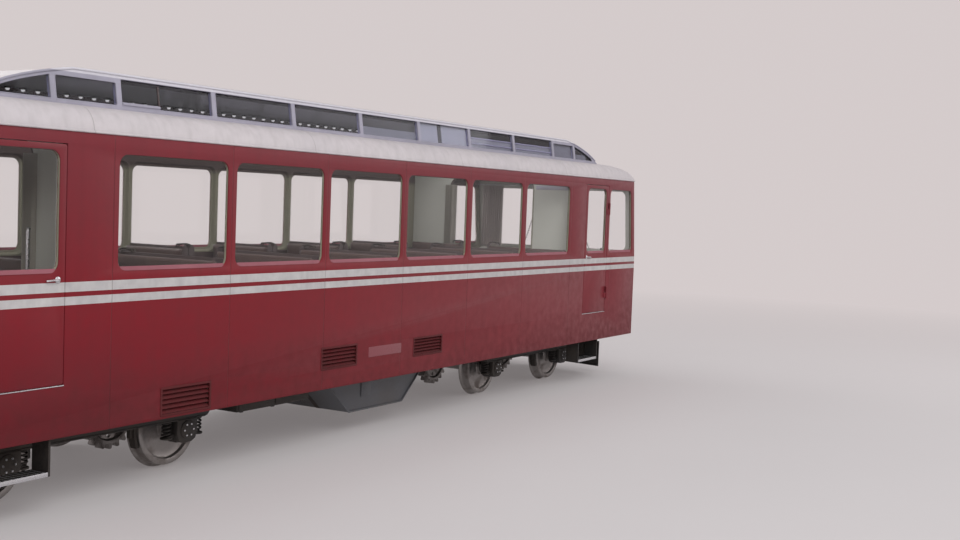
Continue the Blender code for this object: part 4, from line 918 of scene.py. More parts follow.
def make_clerestory():
    tools = [leaning(outline, side, -0.03, 0.08) for outline in pane_outlines() for side in SIDES.values()]
    shell = Piece("clerestory_shell", "car", "white_paint", "roof_clerestory",
                  *(f"clerestory_frame_{name}" for name in SIDES))
    hollow = boolean(crown(0.0, LEDGE_Z + 0.0003), crown(0.04, LEDGE_Z - 0.02))
    shell.take(boolean(hollow, together(*tools)), WHITE)
    shell.repaint(FRAME, lambda centre, normal: abs(centre.y) > 1.10 and abs(normal.z) < 0.8 and
                  centre.z < CLERESTORY_TOP_Z + 0.01)
    shell.repaint(CEILING, faces_inwards)
    shell.done(30, rounding=0.003)
    for name, side in SIDES.items():
        panes = Piece(f"clerestory_panes_{name}", "car", "glass", f"clerestory_glass_{name}")
        beads = Piece(f"clerestory_beads_{name}", "car", "white_paint")

        def bead(points, depth, radius, material=FRAME, closed=False, sides=8):
            beads.tube([(x, side * (frame_y(z) - depth), z) for x, z in points], radius, material, closed, sides)

        for outline in pane_outlines():
            panes.take(leaning(outline, side, 0.018, 0.023), SMOKED)
            bead(outline, 0.003, 0.006, closed=True, sides=6)
        stations = (4.3, 4.5, 4.7, 4.85, 5.0, 5.15, 5.3, 5.40)
        beads.tube([(x, side * (frame_y(edge_z(x)) + 0.002), edge_z(x) + 0.002)
                    for x in [-x for x in reversed(stations)] + list(stations)], 0.011, FRAME, False, 8)
        for x0, x1 in ((1.75, 2.85), (2.90, 4.00)):
            for z in (LEDGE_Z + 0.085, LEDGE_Z + 0.155):
                bead([(x0, z), (x1, z)], 0.034, 0.010)
        z = LEDGE_Z + 0.052
        bead([(-VENT_X[1], z), (-VENT_X[0], z)], 0.012, 0.017)
        bead([(-VENT_X[0], z), (-VENT_X[0], z + 0.19)], 0.016, 0.010, SHELL)
        for x0, x1, top, shade in ((-0.56, 0.56, 0.13, 0), (0.58, 1.03, 0.30, 2), (1.12, 1.72, 0.30, 2),
                                   (1.74, 2.86, 0.165, 1), (2.89, 4.01, 0.165, 1), (4.04, 4.70, 0.24, 0),
                                   (4.74, 5.16, 0.11, 0)):
            flap = rectangle((x0, LEDGE_Z + 0.012), (x1, min(LEDGE_Z + top, CLERESTORY_TOP_Z - 0.02)))
            beads.take(leaning(mirrored(flap, -side), side, 0.0395, 0.0445), SHADES[shade])
        panes.done()
        beads.done(60)
    lamps = Piece("ceiling_lamps", "car", "wheel_steel")
    glow = [(0.0, -0.030), (0.013, -0.028), (0.020, -0.020), (0.022, -0.008)]
    cup = [(0.022, -0.009), (0.028, -0.007), (0.030, 0.0), (0.030, 0.008), (0.0, 0.008)]
    for side in SIDES.values():
        for i in range(-24, 25):
            for profile, material in ((glow, LIT), (cup, DARK)):
                lamps.lathe(profile, (i * LAMP_PITCH, side * LAMP_Y, 3.5845), "z", material, 12)
        lamps.box((-4.42, side * 1.004, 3.540), (4.42, side * 1.012, 3.588), SHELL, 0.002)
    lamps.done(50)


# Inside

def make_bulkhead(name, end):
    """The partition's edge strip, the folded door and the blind beside its passage, and two stanchions."""
    trim = Piece(f"bulkhead_trim_{name}", "car", "wheel_steel", end=end)
    x, foot = BULKHEAD_X + BULKHEAD / 2, FLOOR_Z + 0.005
    opening = rectangle((-PASSAGE_Y, 0.74), (PASSAGE_Y, PASSAGE_TOP_Z))
    loop = [(y, z) for y, z in rounded(opening, PASSAGE_R) if z > FLOOR_Z]
    loop.sort(key=lambda p: (p[0] > 0, p[1] if p[0] < 0 else -p[1]))
    strip = [(x, -0.722, foot)] + [(x, y * 0.996, z - 0.003) for y, z in loop] + [(x, 0.722, foot)]
    trim.tube(strip, 0.023, TRIM)
    folds = [(0.0 if k % 2 else 0.13, 0.655 + 0.0185 * k) for k in range(8)]
    folds += [(u + 0.006, v + 0.004) for u, v in reversed(folds)]
    door = slab([(BULKHEAD_X - 0.045 + u, v) for u, v in folds], "z", FLOOR_Z + 0.012, 2.90)
    trim.take(outward(door), JAMB)
    trim.box((BULKHEAD_X - 0.006, -1.36, 2.866), (BULKHEAD_X + 0.001, -0.76, 2.925), FRAME, 0.002)
    bar = ((0.0, 1.35), (0.05, 1.35), (0.05, 1.37), (0.05, 2.25), (0.05, 2.27), (0.0, 2.27))
    for y in (-0.735, 0.735):
        trim.tube([(BULKHEAD_X + BULKHEAD + u, y, z) for u, z in bar], 0.014, BRIGHT, sides=12)
    trim.done(60)


def crowned(name, size, crown, seams, voxel):
    """A leather pad of length, width and height, blown up a little by cloth simulation, with sewn channels."""
    made = bmesh.new()
    shape = Matrix.Diagonal((size[0] - 0.012, size[1] - 0.012, size[2] - 0.014, 1.0))
    bmesh.ops.create_cube(made, size=1.0, matrix=shape)
    bmesh.ops.bevel(made, geom=made.edges[:], offset=min(size) * 0.28, segments=3, profile=0.5, affect="EDGES")
    pad = placed(name, mesh_of(made, name))
    remesh = pad.modifiers.new("remesh", "REMESH")
    remesh.mode, remesh.voxel_size = "VOXEL", voxel
    apply(pad)
    start = [v.co.copy() for v in pad.data.vertices]
    cloth = pad.modifiers.new("cloth", "CLOTH")
    cloth.settings.use_pressure = True
    cloth.settings.uniform_pressure_force = 4.0
    cloth.settings.effector_weights.gravity = 0.0
    for number in range(1, 13):
        bpy.context.scene.frame_set(number)
    apply(pad)
    bpy.context.scene.frame_set(1)
    for vert, place in zip(pad.data.vertices, start):
        moved = vert.co - place
        if moved.length > crown:
            vert.co = place + moved * (crown / moved.length)
        sewn = [0.16 * math.exp(-((place.y - at) / 0.010) ** 2) for at in seams]
        sewn += [0.06 * math.exp(-((place.x - k * size[0]) / 0.009) ** 2) for k in (-0.25, 0.25)]
        vert.co.z *= 1.0 - max(sewn)
    mesh = pad.data
    for face in mesh.polygons:
        face.use_smooth = True
    mesh.materials.append(LEATHER)
    bpy.data.objects.remove(pad, do_unlink=True)
    return mesh


def set_pad(name, mesh, place, tilt):
    pad = placed(name, mesh)
    pad.matrix_world = Matrix.Translation(place) @ Matrix.Rotation(tilt, 4, "Y")
    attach(pad, "car")


def bench_places():
    """Where each bench's back stands and which way it faces."""
    pairs = [(i * WINDOW_PITCH, way) for i in range(-2, 3) for way in (1, -1)]
    return pairs + [(0.003 - BULKHEAD_X, 1), (BULKHEAD_X - 0.003, -1)]


def make_benches(name, side):
    width, seats = BENCH_WIDTHS[name]
    wall_y, z, lean = INNER_Y - 0.022, FLOOR_Z, math.atan2(0.035, 0.50)
    aisle_y, middle = wall_y - width, side * (wall_y - width / 2)
    joints = [(k / seats - 0.5) * width for k in range(1, seats)]
    cushion = crowned(f"cushion_{name}", (0.40, width - 0.02, 0.125), 0.014, joints, 0.022)
    back = crowned(f"back_{name}", (0.50, width - 0.02, 0.062), 0.010, joints, 0.022)
    frames = Piece(f"bench_frames_{name}", "car", "dark_steel", f"seats_{name}")
    for number, (x, way) in enumerate(bench_places()):
        set_pad(f"cushion_{name}_{number}", cushion, (x + way * 0.262, middle, z + 0.378), -way * 0.05)
        set_pad(f"back_{name}_{number}", back, (x + way * 0.064, middle, z + 0.705), way * (lean - math.pi / 2))
        for y in (side * (aisle_y + 0.08), side * (wall_y - 0.10)):
            for x0, x1, z0, z1, half, bevel in ((0.07, 0.34, 0.001, 0.012, 0.020, 0.003),
                                                (0.03, 0.45, 0.295, 0.320, 0.018, 0.004)):
                frames.box((x + way * x0, y - half, z + z0), (x + way * x1, y + half, z + z1), DARK, bevel)
            frames.tube([(x + way * 0.20, y, z + u) for u in (0.01, 0.31)], 0.022, DARK, sides=16)
            frames.tube([(x + way * u, y, z + v) for u, v in ((0.025, 0.31), (0.022, 0.94))], 0.013, DARK)
        y = side * (aisle_y + 0.012)
        end_cap = [(x + way * u, z + v) for u, v in ((0.005, 0.30), (0.455, 0.30), (0.46, 0.40), (0.43, 0.45),
                                                     (0.14, 0.47), (0.09, 0.96), (0.06, 0.985), (0.005, 0.985))]
        frames.plate(end_cap[::way], "y", y, y + side * 0.012, SHELL, bevel=0.003)
        grip = ((0.0, 0.955), (-0.004, 0.985), (0.05, 0.995), (0.16, 0.985), (0.17, 0.955))
        frames.tube([(x + way * 0.02, y + side * u, z + v) for u, v in grip], 0.009, DARK)
    for i in range(-2, 3):
        x = i * WINDOW_PITCH
        frames.box((x - 0.010, side * (aisle_y + 0.03), z + 0.42), (x + 0.010, side * (wall_y - 0.01), z + 0.965),
                   SHELL, 0.006)
    duct = [(side * (wall_y + u), z + v) for u, v in ((0.006, 0.012), (0.006, 0.15), (-0.01, 0.16), (-0.085, 0.16),
                                                      (-0.11, 0.135), (-0.11, 0.012))]
    frames.plate(duct[::-side], "x", -4.39, 4.39, SHELL, bevel=0.004)
    for i in range(-42, 43):
        x = i * 0.102
        frames.box((x - 0.034, side * (wall_y - 0.108), z + 0.06),
                   (x + 0.034, side * (wall_y - 0.1125), z + 0.072), DARK)
    frames.done(40)


def make_cab(name, end):
    z, y = FLOOR_Z, -DRIVER_Y
    shelf = z + 0.84
    shelf_x = end_x(shelf, 0.10)
    cab = Piece(f"cab_desk_{name}", "car", "lining", f"desk_{name}", end=end)
    cab.plate([(6.24, z + 0.0003), (6.56, z + 0.0003), (6.56, BELT_Z), (shelf_x, shelf), (shelf_x - 0.15, shelf),
               (6.14, z + 0.74), (6.14, z + 0.70), (6.20, z + 0.62)], "y", -1.30, 1.30, LINING, bevel=0.006)
    cab.done(35)
    fittings = Piece(f"cab_controls_{name}", "car", "dark_steel", end=end)
    fittings.plate([(6.16, z + 0.752), (6.38, z + 0.83), (6.385, z + 0.815), (6.165, z + 0.737)], "y", y - 0.42,
                   y + 0.42, DARK)
    for k in range(4):
        dial = turned([(0.0, 0.012), (0.046, 0.012), (0.046, 0.020), (0.052, 0.022), (0.056, 0.016), (0.056, 0.0)],
                      (0, 0, 0), "z", 32)
        place = Matrix.Translation((6.30, y - 0.24 + 0.16 * k, z + 0.806)) @ Matrix.Rotation(-0.35, 4, "Y")
        bmesh.ops.transform(dial, matrix=place, verts=dial.verts)
        fittings.take(dial, BRIGHT)
    knob = [(0.0, -0.02), (0.016, -0.014), (0.021, 0.0), (0.016, 0.014), (0.0, 0.02)]
    for dy, length in ((-0.33, 0.16), (0.33, 0.12)):
        base = Vector((6.21, y + dy, z + 0.76))
        top = base + Vector((-0.03, 0, length))
        fittings.tube([base, top], 0.010, BRIGHT)
        fittings.lathe(knob, top, "z", RUBBER, 20)
    fittings.done(40)
    seat = Piece(f"driver_seat_frame_{name}", "car", "dark_steel", f"driver_seat_{name}", end=end)
    stem = [(0.0, 0.0005), (0.17, 0.0005), (0.17, 0.012), (0.06, 0.03), (0.045, 0.06), (0.045, 0.40), (0.0, 0.40)]
    seat.lathe(stem, (DRIVER_X, y, z), "z", DARK, 32)
    pan = rounded(rectangle((DRIVER_X - 0.20, y - 0.20), (DRIVER_X + 0.20, y + 0.20)), 0.05, 6)
    seat.plate(pan, "z", z + 0.395, z + 0.415, DARK, bevel=0.004)
    rest = rounded(rectangle((y - 0.19, z + 0.55), (y + 0.19, z + 0.97)), 0.06, 6)
    seat.plate(rest, "x", 5.495, 5.505, DARK, bevel=0.003)
    arm = ((5.60, 0.40), (5.50, 0.42), (5.485, 0.50), (5.492, 0.80))
    seat.tube([(x, y, z + u) for x, u in arm], 0.014, DARK, sides=12)
    seat.done(40)


def make_driver_pads():
    cushion = crowned("driver_cushion", (0.43, 0.43, 0.085), 0.012, [], 0.014)
    back = crowned("driver_back", (0.44, 0.42, 0.060), 0.010, [], 0.014)
    for name, end in ENDS.items():
        y = -end * DRIVER_Y
        set_pad(f"driver_cushion_{name}", cushion, (end * DRIVER_X, y, FLOOR_Z + 0.458), 0.0)
        set_pad(f"driver_back_{name}", back, (end * (DRIVER_X - 0.185), y, FLOOR_Z + 0.755),
                end * (0.07 - math.pi / 2))


# Running gear and what hangs below the floor

def wheel_profile():
    """Half of a wheelset's turned profile, from a journal's end to the middle of the axle."""
    return [(0.0, 0.989), (0.056, 0.989), (0.060, 0.984), (0.060, 0.860), (0.078, 0.852), (0.078, 0.835),
            (0.104, 0.834), (0.110, 0.828), (0.112, 0.806), (0.122, 0.792), (0.150, 0.785), (0.235, 0.775),
            (0.280, 0.776), (0.300, 0.785), (0.309, 0.806), (0.313, 0.813), (0.318, 0.815), (0.358, 0.815),
            (0.366, 0.812), (0.369, 0.804), (0.370, 0.735), (0.372, 0.722), (0.379, 0.711), (0.391, 0.704),
            (0.398, 0.697), (0.400, 0.690), (0.397, 0.684), (0.390, 0.680), (0.318, 0.680), (0.311, 0.684),
            (0.300, 0.702), (0.275, 0.712), (0.220, 0.716), (0.150, 0.716), (0.128, 0.710), (0.118, 0.695),
            (0.115, 0.672), (0.095, 0.668), (0.082, 0.660), (0.080, 0.640), (0.080, 0.110), (0.092, 0.100),
            (0.118, 0.098), (0.126, 0.090), (0.128, 0.040), (0.140, 0.022), (0.165, 0.018), (0.215, 0.018),
            (0.228, 0.022), (0.238, 0.036), (0.244, 0.0495), (0.262, 0.0495), (0.262, 0.0)]


def make_wheelset(name, x):
    half, piece = wheel_profile(), Piece(f"{name}_wheels", name, "wheel_steel", name)
    body = turned(half + [(r, -y) for r, y in reversed(half[:-1])], (x, 0.0, AXLE_Z), "y", 64)
    hole = [(0.0, -0.1), (0.026, -0.1), (0.026, 0.1), (0.0, 0.1)]
    holes = [turned(hole, (u, 0.0, v), "y", 16) for u, v in circle((x, AXLE_Z), 0.19, 6, 30)]
    piece.take(boolean(body, together(*holes)), WHEEL)
    step = 2 * math.pi / TEETH
    teeth = ((0.275, -0.33), (0.283, -0.27), (0.318, -0.155), (0.325, -0.11), (0.325, 0.11), (0.318, 0.155),
             (0.283, 0.27), (0.275, 0.33))
    outline = [(x + r * math.cos((i + s) * step), AXLE_Z + r * math.sin((i + s) * step))
               for i in range(TEETH) for r, s in teeth]
    piece.plate(outline, "y", -0.05, 0.05, WHEEL, [circle((x, AXLE_Z), COG_BORE, 60)], 0.0015)
    piece.done(34)


def coil(centre, low, high, radius, wire, turns):
    loop, steps = circle(centre, radius, 18), 18 * turns
    return pipe([(*loop[i % 18], low + wire + (high - low - 2 * wire) * i / steps) for i in range(steps + 1)],
                wire, sides=8)


def make_bogie(name, end):
    bogie = Piece(f"bogie_frame_{name}", f"bogie_{name}", "dark_steel", f"bogie_{name}")
    c = end * BOGIE_X
    low, high = BEAM_Z
    beam = [(-1.30, low + 0.03), (-1.27, low), (1.27, low), (1.30, low + 0.03), (1.30, high - 0.03), (1.27, high),
            (-1.27, high), (-1.30, high - 0.03)]
    for side in SIDES.values():
        near, far = (side * y for y in BEAM_Y)
        bogie.plate([(c + x, z) for x, z in beam], "y", near, far, DARK, bevel=0.008)
        for z in (low + 0.003, high - 0.003):
            bogie.box((c - 1.24, near - side * 0.006, z - 0.007), (c + 1.24, far + side * 0.006, z + 0.007), DARK,
                      0.003)
        for way in (-1, 1):
            x = c + way * WHEELBASE / 2
            make_axle_box(bogie, x, side)
            brake(bogie, x, side, -way)
        for u in (-0.13, 0.13):
            bogie.take(coil((c + u, side * SPRING_Y), 0.646, 0.845, 0.060, 0.0115, 5), DARK)
            for z0, z1 in ((0.643, 0.655), (0.845, 0.858)):
                cup = [(0.0, z0), (0.078, z0), (0.082, z0 + 0.003), (0.082, z1 - 0.003), (0.078, z1), (0.0, z1)]
                bogie.lathe(cup, (c + u, side * SPRING_Y, 0.0), "z", DARK, 32)
        near, far = DAMPER_X
        for x0, x1, radius, material, sides in ((near, 0.62, 0.018, DARK, 16), (0.60, far, 0.009, BRIGHT, 12)):
            bogie.tube([(c + x, side * DAMPER_Y, DAMPER_Z) for x in (x0, x1)], radius, material, sides=sides)
        eye = [(0.0, -0.023), (0.024, -0.023), (0.024, 0.015), (0.0, 0.015)]
        for u in DAMPER_X:
            bogie.lathe(eye, (c + u, side * DAMPER_Y, DAMPER_Z), "y", DARK, 20, side)
    bogie.plate(rectangle((c - 0.28, -0.93), (c + 0.28, 0.93)), "z", low, high, DARK, bevel=0.010)
    bogie.box((c - 0.24, -0.82, 0.62), (c + 0.24, 0.82, 0.768), DARK, 0.014, 3)
    pivot = [(0.0, 0.76), (0.20, 0.76), (0.20, 0.79), (0.192, 0.80), (0.17, 0.81), (0.17, 0.8585), (0.0, 0.8585)]
    bogie.lathe(pivot, (c, 0.0, 0.0), "z", DARK, 56)
    for way in (-1, 1):
        rib = [(c + way * 0.235, high), (c + way * 0.279, high), (c + way * 0.236, 0.755)]
        for y in (-0.55, -0.18, 0.18, 0.55):
            bogie.plate(rib[::way], "y", y - 0.008, y + 0.008, DARK)
        x = c + way * 1.285
        bogie.tube([(x, -0.93, 0.575), (x, 0.93, 0.575)], 0.028, DARK, sides=20)
        x = c + way * 0.42
        bogie.box((x - 0.11, -0.15, 0.47), (x + 0.11, 0.15, 0.63), DARK, 0.02, 3)
        bogie.tube([(x, -0.92, 0.57), (x, 0.92, 0.57)], 0.032, DARK, sides=16)
    bogie.done(40)


def make_axle_box(bogie, x, side):
    """An axle box with its cover, between two coil springs on their seats."""
    shape = [(-0.14, 0.52), (-0.14, 0.36), (-0.115, 0.30), (-0.06, 0.272), (0.06, 0.272), (0.115, 0.30),
             (0.14, 0.36), (0.14, 0.52)]
    bogie.plate([(x + u, z) for u, z in shape], "y", side * 0.887, side * 0.9905, DARK,
                [circle((x, AXLE_Z), JOURNAL_R, 32)], 0.006)
    bogie.plate([(x + u * 0.94, 0.39 + (z - 0.39) * 0.94) for u, z in shape], "y", side * 0.9905, side * 1.066,
                DARK, bevel=0.008)
    cover = [(0.0, 1.083), (0.070, 1.083), (0.076, 1.080), (0.088, 1.074), (0.090, 1.066), (0.0, 1.060)]
    bogie.lathe(cover, (x, 0.0, AXLE_Z), "y", DARK, 40, side)
    for u, v in circle((x, AXLE_Z), 0.058, 6):
        bolt(bogie, (u, side * 1.078, v), "y", side, rise=0.014)
    cup = [(0.0, 0.325), (0.052, 0.325), (0.055, 0.330), (0.055, 0.340), (0.048, 0.345), (0.0, 0.345)]
    y = side * SPRING_Y
    for way in (-1, 1):
        u = way * 0.20
        bogie.take(coil((x + u, y), 0.345, 0.498, 0.038, 0.009, 4), DARK)
        bogie.lathe(cup, (x + u, y, 0.0), "z", DARK, 24)
        lug = [(x + u * 0.6, 0.330), (x + u * 1.2, 0.330), (x + u * 1.2, 0.342), (x + u * 0.6, 0.372)]
        bogie.plate(lug[::-way], "y", y - 0.03, y + 0.03, DARK, bevel=0.003)


def brake(bogie, axle_x, side, way):
    """A shoe at a wheel's tread on its hanger, toward the middle of the bogie."""
    shoe = arc((0.0, AXLE_Z), 0.377, 205, 155, 10) + arc((0.0, AXLE_Z), 0.415, 157, 203, 10)
    bogie.plate([(axle_x - u * way, z) for u, z in shoe], "y", side * 0.725, side * 0.800, DARK, bevel=0.003)
    x = axle_x + way * 0.432
    bogie.box((x - 0.018, side * 0.740, 0.34), (x + 0.018, side * 0.785, 0.47), DARK, 0.005)
    hanger = ((0.0, 0.762, 0.44), (0.02, 0.762, 0.60), (0.02, 0.935, 0.60))
    bogie.tube([(x + way * u, side * v, z) for u, v, z in hanger], 0.014, DARK)


def make_tank():
    tank = Piece("fuel_tank_shell", "car", "tank_grey", "fuel_tank")
    corners = [(-0.53, 0.25), (0.53, 0.25), (0.98, 0.64), (0.98, HUNG_Z), (-0.98, HUNG_Z), (-0.98, 0.64)]
    shape = rounded(corners, 0.045, 6)

    def scaled(across, upright):
        return [(x * across, TANK_MIDDLE_Z + (z - TANK_MIDDLE_Z) * upright) for x, z in shape]

    tank.plate(shape, "y", -TANK_Y, TANK_Y, TANK, bevel=0.016)
    for side in SIDES.values():
        y = side * TANK_Y
        tank.tube([(x, side * 1.139, z) for x, z in scaled(0.985, 0.985)], 0.0105, TANK, True, 8)
        tank.box((-0.30, y - 0.01, 0.40), (-0.12, y + side * 0.004, 0.58), TANK, 0.004)
        for x in (-0.285, -0.135):
            for z in (0.415, 0.565):
                bolt(tank, (x, y, z), "y", side, 0.008, 0.009)
        neck = [(0.0, 0.012), (0.050, 0.012), (0.056, 0.009), (0.056, -0.01)]
        tank.lathe(neck, (0.52, y, 0.70), "y", DARK, 36, side)
    band = [(x, min(z, HUNG_Z + 0.0002)) for x, z in scaled(1.004, 1.006)]
    for y in (-0.72, 0.0, 0.72):
        tank.plate(band, "y", y - 0.03, y + 0.03, DARK, [scaled(0.99, 0.985)])
    tank.lathe([(0.0, 0.2425), (0.022, 0.2425), (0.025, 0.252), (0.0, 0.252)], (0.2, 0.3, 0.0), "z", BRIGHT, 6)
    tank.done(34)


def make_engine():
    """The engine as one block with sump, head covers, ribs and a radiator face."""
    engine = Piece("engine_block", "car", "dark_steel", "engine")
    engine.box((1.17, -0.585, 0.50), (2.28, 0.585, 0.83), DARK, 0.03, 3)
    sump = rounded([(1.26, 0.342), (2.10, 0.342), (2.22, 0.42), (2.22, 0.52), (1.20, 0.52), (1.20, 0.40)], 0.03, 4)
    engine.plate(sump, "y", -0.36, 0.36, DARK, bevel=0.012)
    for side in SIDES.values():
        for i in range(6):
            x = 1.27 + 0.165 * i
            engine.box((x, side * 0.58, 0.56), (x + 0.12, side * 0.598, 0.78), DARK, 0.008)
            for dx in (0.02, 0.10):
                bolt(engine, (x + dx, side * 0.588, 0.59), "y", side)
        exhaust = ((1.25, 0.49), (1.25, 0.43), (1.28, 0.41), (2.16, 0.41), (2.20, 0.43), (2.20, 0.52))
        engine.tube([(x, side * 0.47, z) for x, z in exhaust], 0.022, WHEEL, sides=14)
        for x in (1.30, 2.16):
            engine.box((x - 0.05, side * 0.42, 0.81), (x + 0.05, side * 0.54, HUNG_Z), DARK, 0.006)
    for i in range(9):
        y = -0.48 + 0.12 * i
        for x in (2.278, 1.154):
            engine.box((x, y - 0.045, 0.54), (x + 0.018, y + 0.045, 0.80), DARK, 0.006)
    engine.done(40)


def make_battery_box():
    box = Piece("battery_box_case", "car", "dark_steel", "battery_box")
    box.box(*BATTERY_BOX, DARK, 0.018, 3)
    for side in SIDES.values():
        y = side * HATCH_Y
        for x0, x1 in ((-2.27, -1.735), (-1.715, -1.18)):
            x = (x0 + x1) / 2
            box.box((x0, side * 1.08, 0.49), (x1, y, 0.80), DARK, 0.008)
            for i in range(5):
                z = 0.54 + 0.028 * i
                box.box((x0 + 0.10, y - side * 0.004, z), (x1 - 0.10, y + side * 0.005, z + 0.010), DARK, 0.002)
            lock = [(0.0, 0.006), (0.022, 0.006), (0.026, 0.0), (0.0, 0.0)]
            box.lathe(lock, (x, y, 0.745), "y", BRIGHT, 20, side)
            for u in (-0.19, 0.19):
                box.tube([(x + u + v, y - side * 0.002, 0.805) for v in (-0.035, 0.035)], 0.009, DARK)
    for x in (-2.20, -1.725, -1.25):
        box.box((x - 0.02, -1.07, 0.461), (x + 0.02, 1.07, 0.474), DARK, 0.003)
    box.done(40)


def curve_points(points, steps):
    """Points on a smooth curve through the given ones."""
    points = [Vector(p) for p in points]
    ends = [points[0] * 2 - points[1]] + points + [points[-1] * 2 - points[-2]]
    shares = [k / steps for k in range(steps)]
    return [0.5 * (2 * b + (c - a) * t + (2 * a - 5 * b + 4 * c - d) * t * t + (3 * b - a - 3 * c + d) * t ** 3)
            for a, b, c, d in zip(ends, ends[1:], ends[2:], ends[3:]) for t in shares] + [points[-1]]


def make_coupler(name, end):
    coupler = Piece(f"coupler_head_{name}", "car", "dark_steel", f"coupler_{name}", end=end)
    coupler.plate(rectangle((5.955, 0.625), (6.555, HUNG_Z)), "y", -0.148, 0.148, DARK, bevel=0.008)
    shank = [(0.0, 6.54), (0.075, 6.54), (0.085, 6.546), (0.085, 6.575), (0.060, 6.585), (0.050, 6.595),
             (0.050, 6.78), (0.058, 6.80), (0.090, 6.812), (0.158, 6.822), (0.168, 6.828), (0.170, 6.836),
             (0.170, 6.852), (0.165, 6.859), (0.150, 6.862), (0.080, 6.8645), (0.0, 6.865)]
    coupler.lathe(shank, (0.0, 0.0, COUPLER_Z), "x", WHEEL, 56)
    bend = ((6.54, 0.80), (6.66, 0.80), (6.695, 0.79), (6.71, 0.76))
    cap = [(0.0, 0.765), (0.022, 0.765), (0.026, 0.755), (0.026, 0.725), (0.020, 0.718), (0.0, 0.718)]
    for side in SIDES.values():
        y = side * 0.25
        coupler.tube(curve_points([(x, y, z) for x, z in bend], 5), 0.017, DARK, sides=12)
        coupler.lathe(cap, (6.71, y, 0.0), "z", BRIGHT, 20)
        for z in (0.66, 0.82):
            bolt(coupler, (6.551, side * 0.11, z), "x", 1, 0.013, 0.015)
    coupler.done(40)


def make_rail_guard(name, end):
    guard = Piece(f"rail_guard_plate_{name}", "car", "dark_steel", f"rail_guard_{name}", end=end)
    face = [(6.12, -1.12), (6.34, -0.16), (6.375, -0.06), (6.38, 0.0), (6.375, 0.06), (6.34, 0.16), (6.12, 1.12)]
    back = [(6.108, 1.115), (6.326, 0.155), (6.360, 0.055), (6.364, 0.0), (6.360, -0.055), (6.326, -0.155),
            (6.108, -1.115)]
    guard.plate(face + back, "z", *GUARD_Z, DARK, bevel=0.002)
    edge = ((6.103, -1.11), (6.323, -0.155), (6.354, 0.0), (6.323, 0.155), (6.103, 1.11))
    for z in (GUARD_Z[0] + 0.015, GUARD_Z[1] - 0.015):
        guard.tube([(x, y, z) for x, y in edge], 0.012, DARK)
    hanger = [(6.097, 0.28), (6.180, 0.28), (6.190, 0.50), (6.203, 0.70), (6.203, HUNG_Z), (6.097, HUNG_Z)]
    brace = [(5.87, HUNG_Z), (6.10, 0.56), (6.10, 0.60), (5.93, HUNG_Z)]
    for side in SIDES.values():
        y = side * GUARD_HANGER_Y
        guard.plate(hanger, "y", y - 0.05, y + 0.05, DARK, bevel=0.005)
        guard.plate(brace, "y", y - 0.02, y + 0.02, DARK, bevel=0.002)
        for z in (0.33, 0.45):
            guard.lathe([(0.0, 0.014), (0.012, 0.013), (0.014, -0.02), (0.0, -0.02)],
                        (6.12 + 0.22 * (1.12 - GUARD_HANGER_Y) / 1.12, y, z), "x", BRIGHT, 6)
    guard.done(40)


def make_underside():
    """Step treads, pipes along the sole bars and the webs of the cross-bearers."""
    gear = Piece("underframe_fittings", "car", "dark_steel")
    for side in SIDES.values():
        for end in ENDS.values():
            a, b = sorted(end * x for x in STEP_X)
            near, far = STEP_Y
            gear.box((a, side * near, STEP_Z - 0.0045), (b, side * far, STEP_Z), DARK)
            for i in range(12):
                x = a + 0.03 + 0.05 * i
                gear.box((x, side * (near + 0.012), STEP_Z - 0.0005),
                         (x + 0.012, side * (far - 0.012), STEP_Z + 0.0028), BRIGHT, 0.0012)
            gear.box((a, side * (far - 0.004), STEP_Z - 0.034),
                     (b, side * (far + 0.0065), STEP_Z + 0.0025), BRIGHT, 0.002)
        y, z = side * AIR_PIPE_Y, AIR_PIPE_Z
        gear.tube([(-5.9, y, z), (5.9, y, z)], 0.016, DARK)
        for i in range(-11, 12):
            x = i * 0.52
            gear.box((x - 0.012, y - 0.024, z - 0.004), (x + 0.012, y + 0.024, z + 0.0185), DARK, 0.003)
        web = [(side * y, z) for y, z in ((0.20, 0.858), (1.25, 0.858), (1.20, 0.83), (0.26, 0.79), (0.20, 0.79))]
        for x in BEARER_X:
            gear.plate(web[::-side], "x", x - 0.006, x + 0.006, DARK)
    gear.done(40)


make_underside()
make_tank()
make_engine()
make_battery_box()
make_roof_base()
make_clerestory()
for side_name, side in SIDES.items():
    make_side(side_name, side)
    for end_name, end in ENDS.items():
        make_door(side_name, side, end_name, end)
for end_name, end in ENDS.items():
    make_end(end_name, end)
    make_bulkhead(end_name, end)
    make_cab(end_name, end)
    make_bogie(end_name, end)
    make_coupler(end_name, end)
    make_rail_guard(end_name, end)
    for place, shift in (("inner", -WHEELBASE / 2), ("outer", WHEELBASE / 2)):
        make_wheelset(f"wheelset_{end_name}_{place}", end * (BOGIE_X + shift))
for side_name, side in SIDES.items():
    make_benches(side_name, side)
make_driver_pads()

for node, material in (("underframe", DARK), ("floor", FLOOR), ("bulkhead_front", LINING),
                       ("bulkhead_rear", LINING)):
    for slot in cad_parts[node].material_slots:
        slot.material = material


# Floor, light and camera

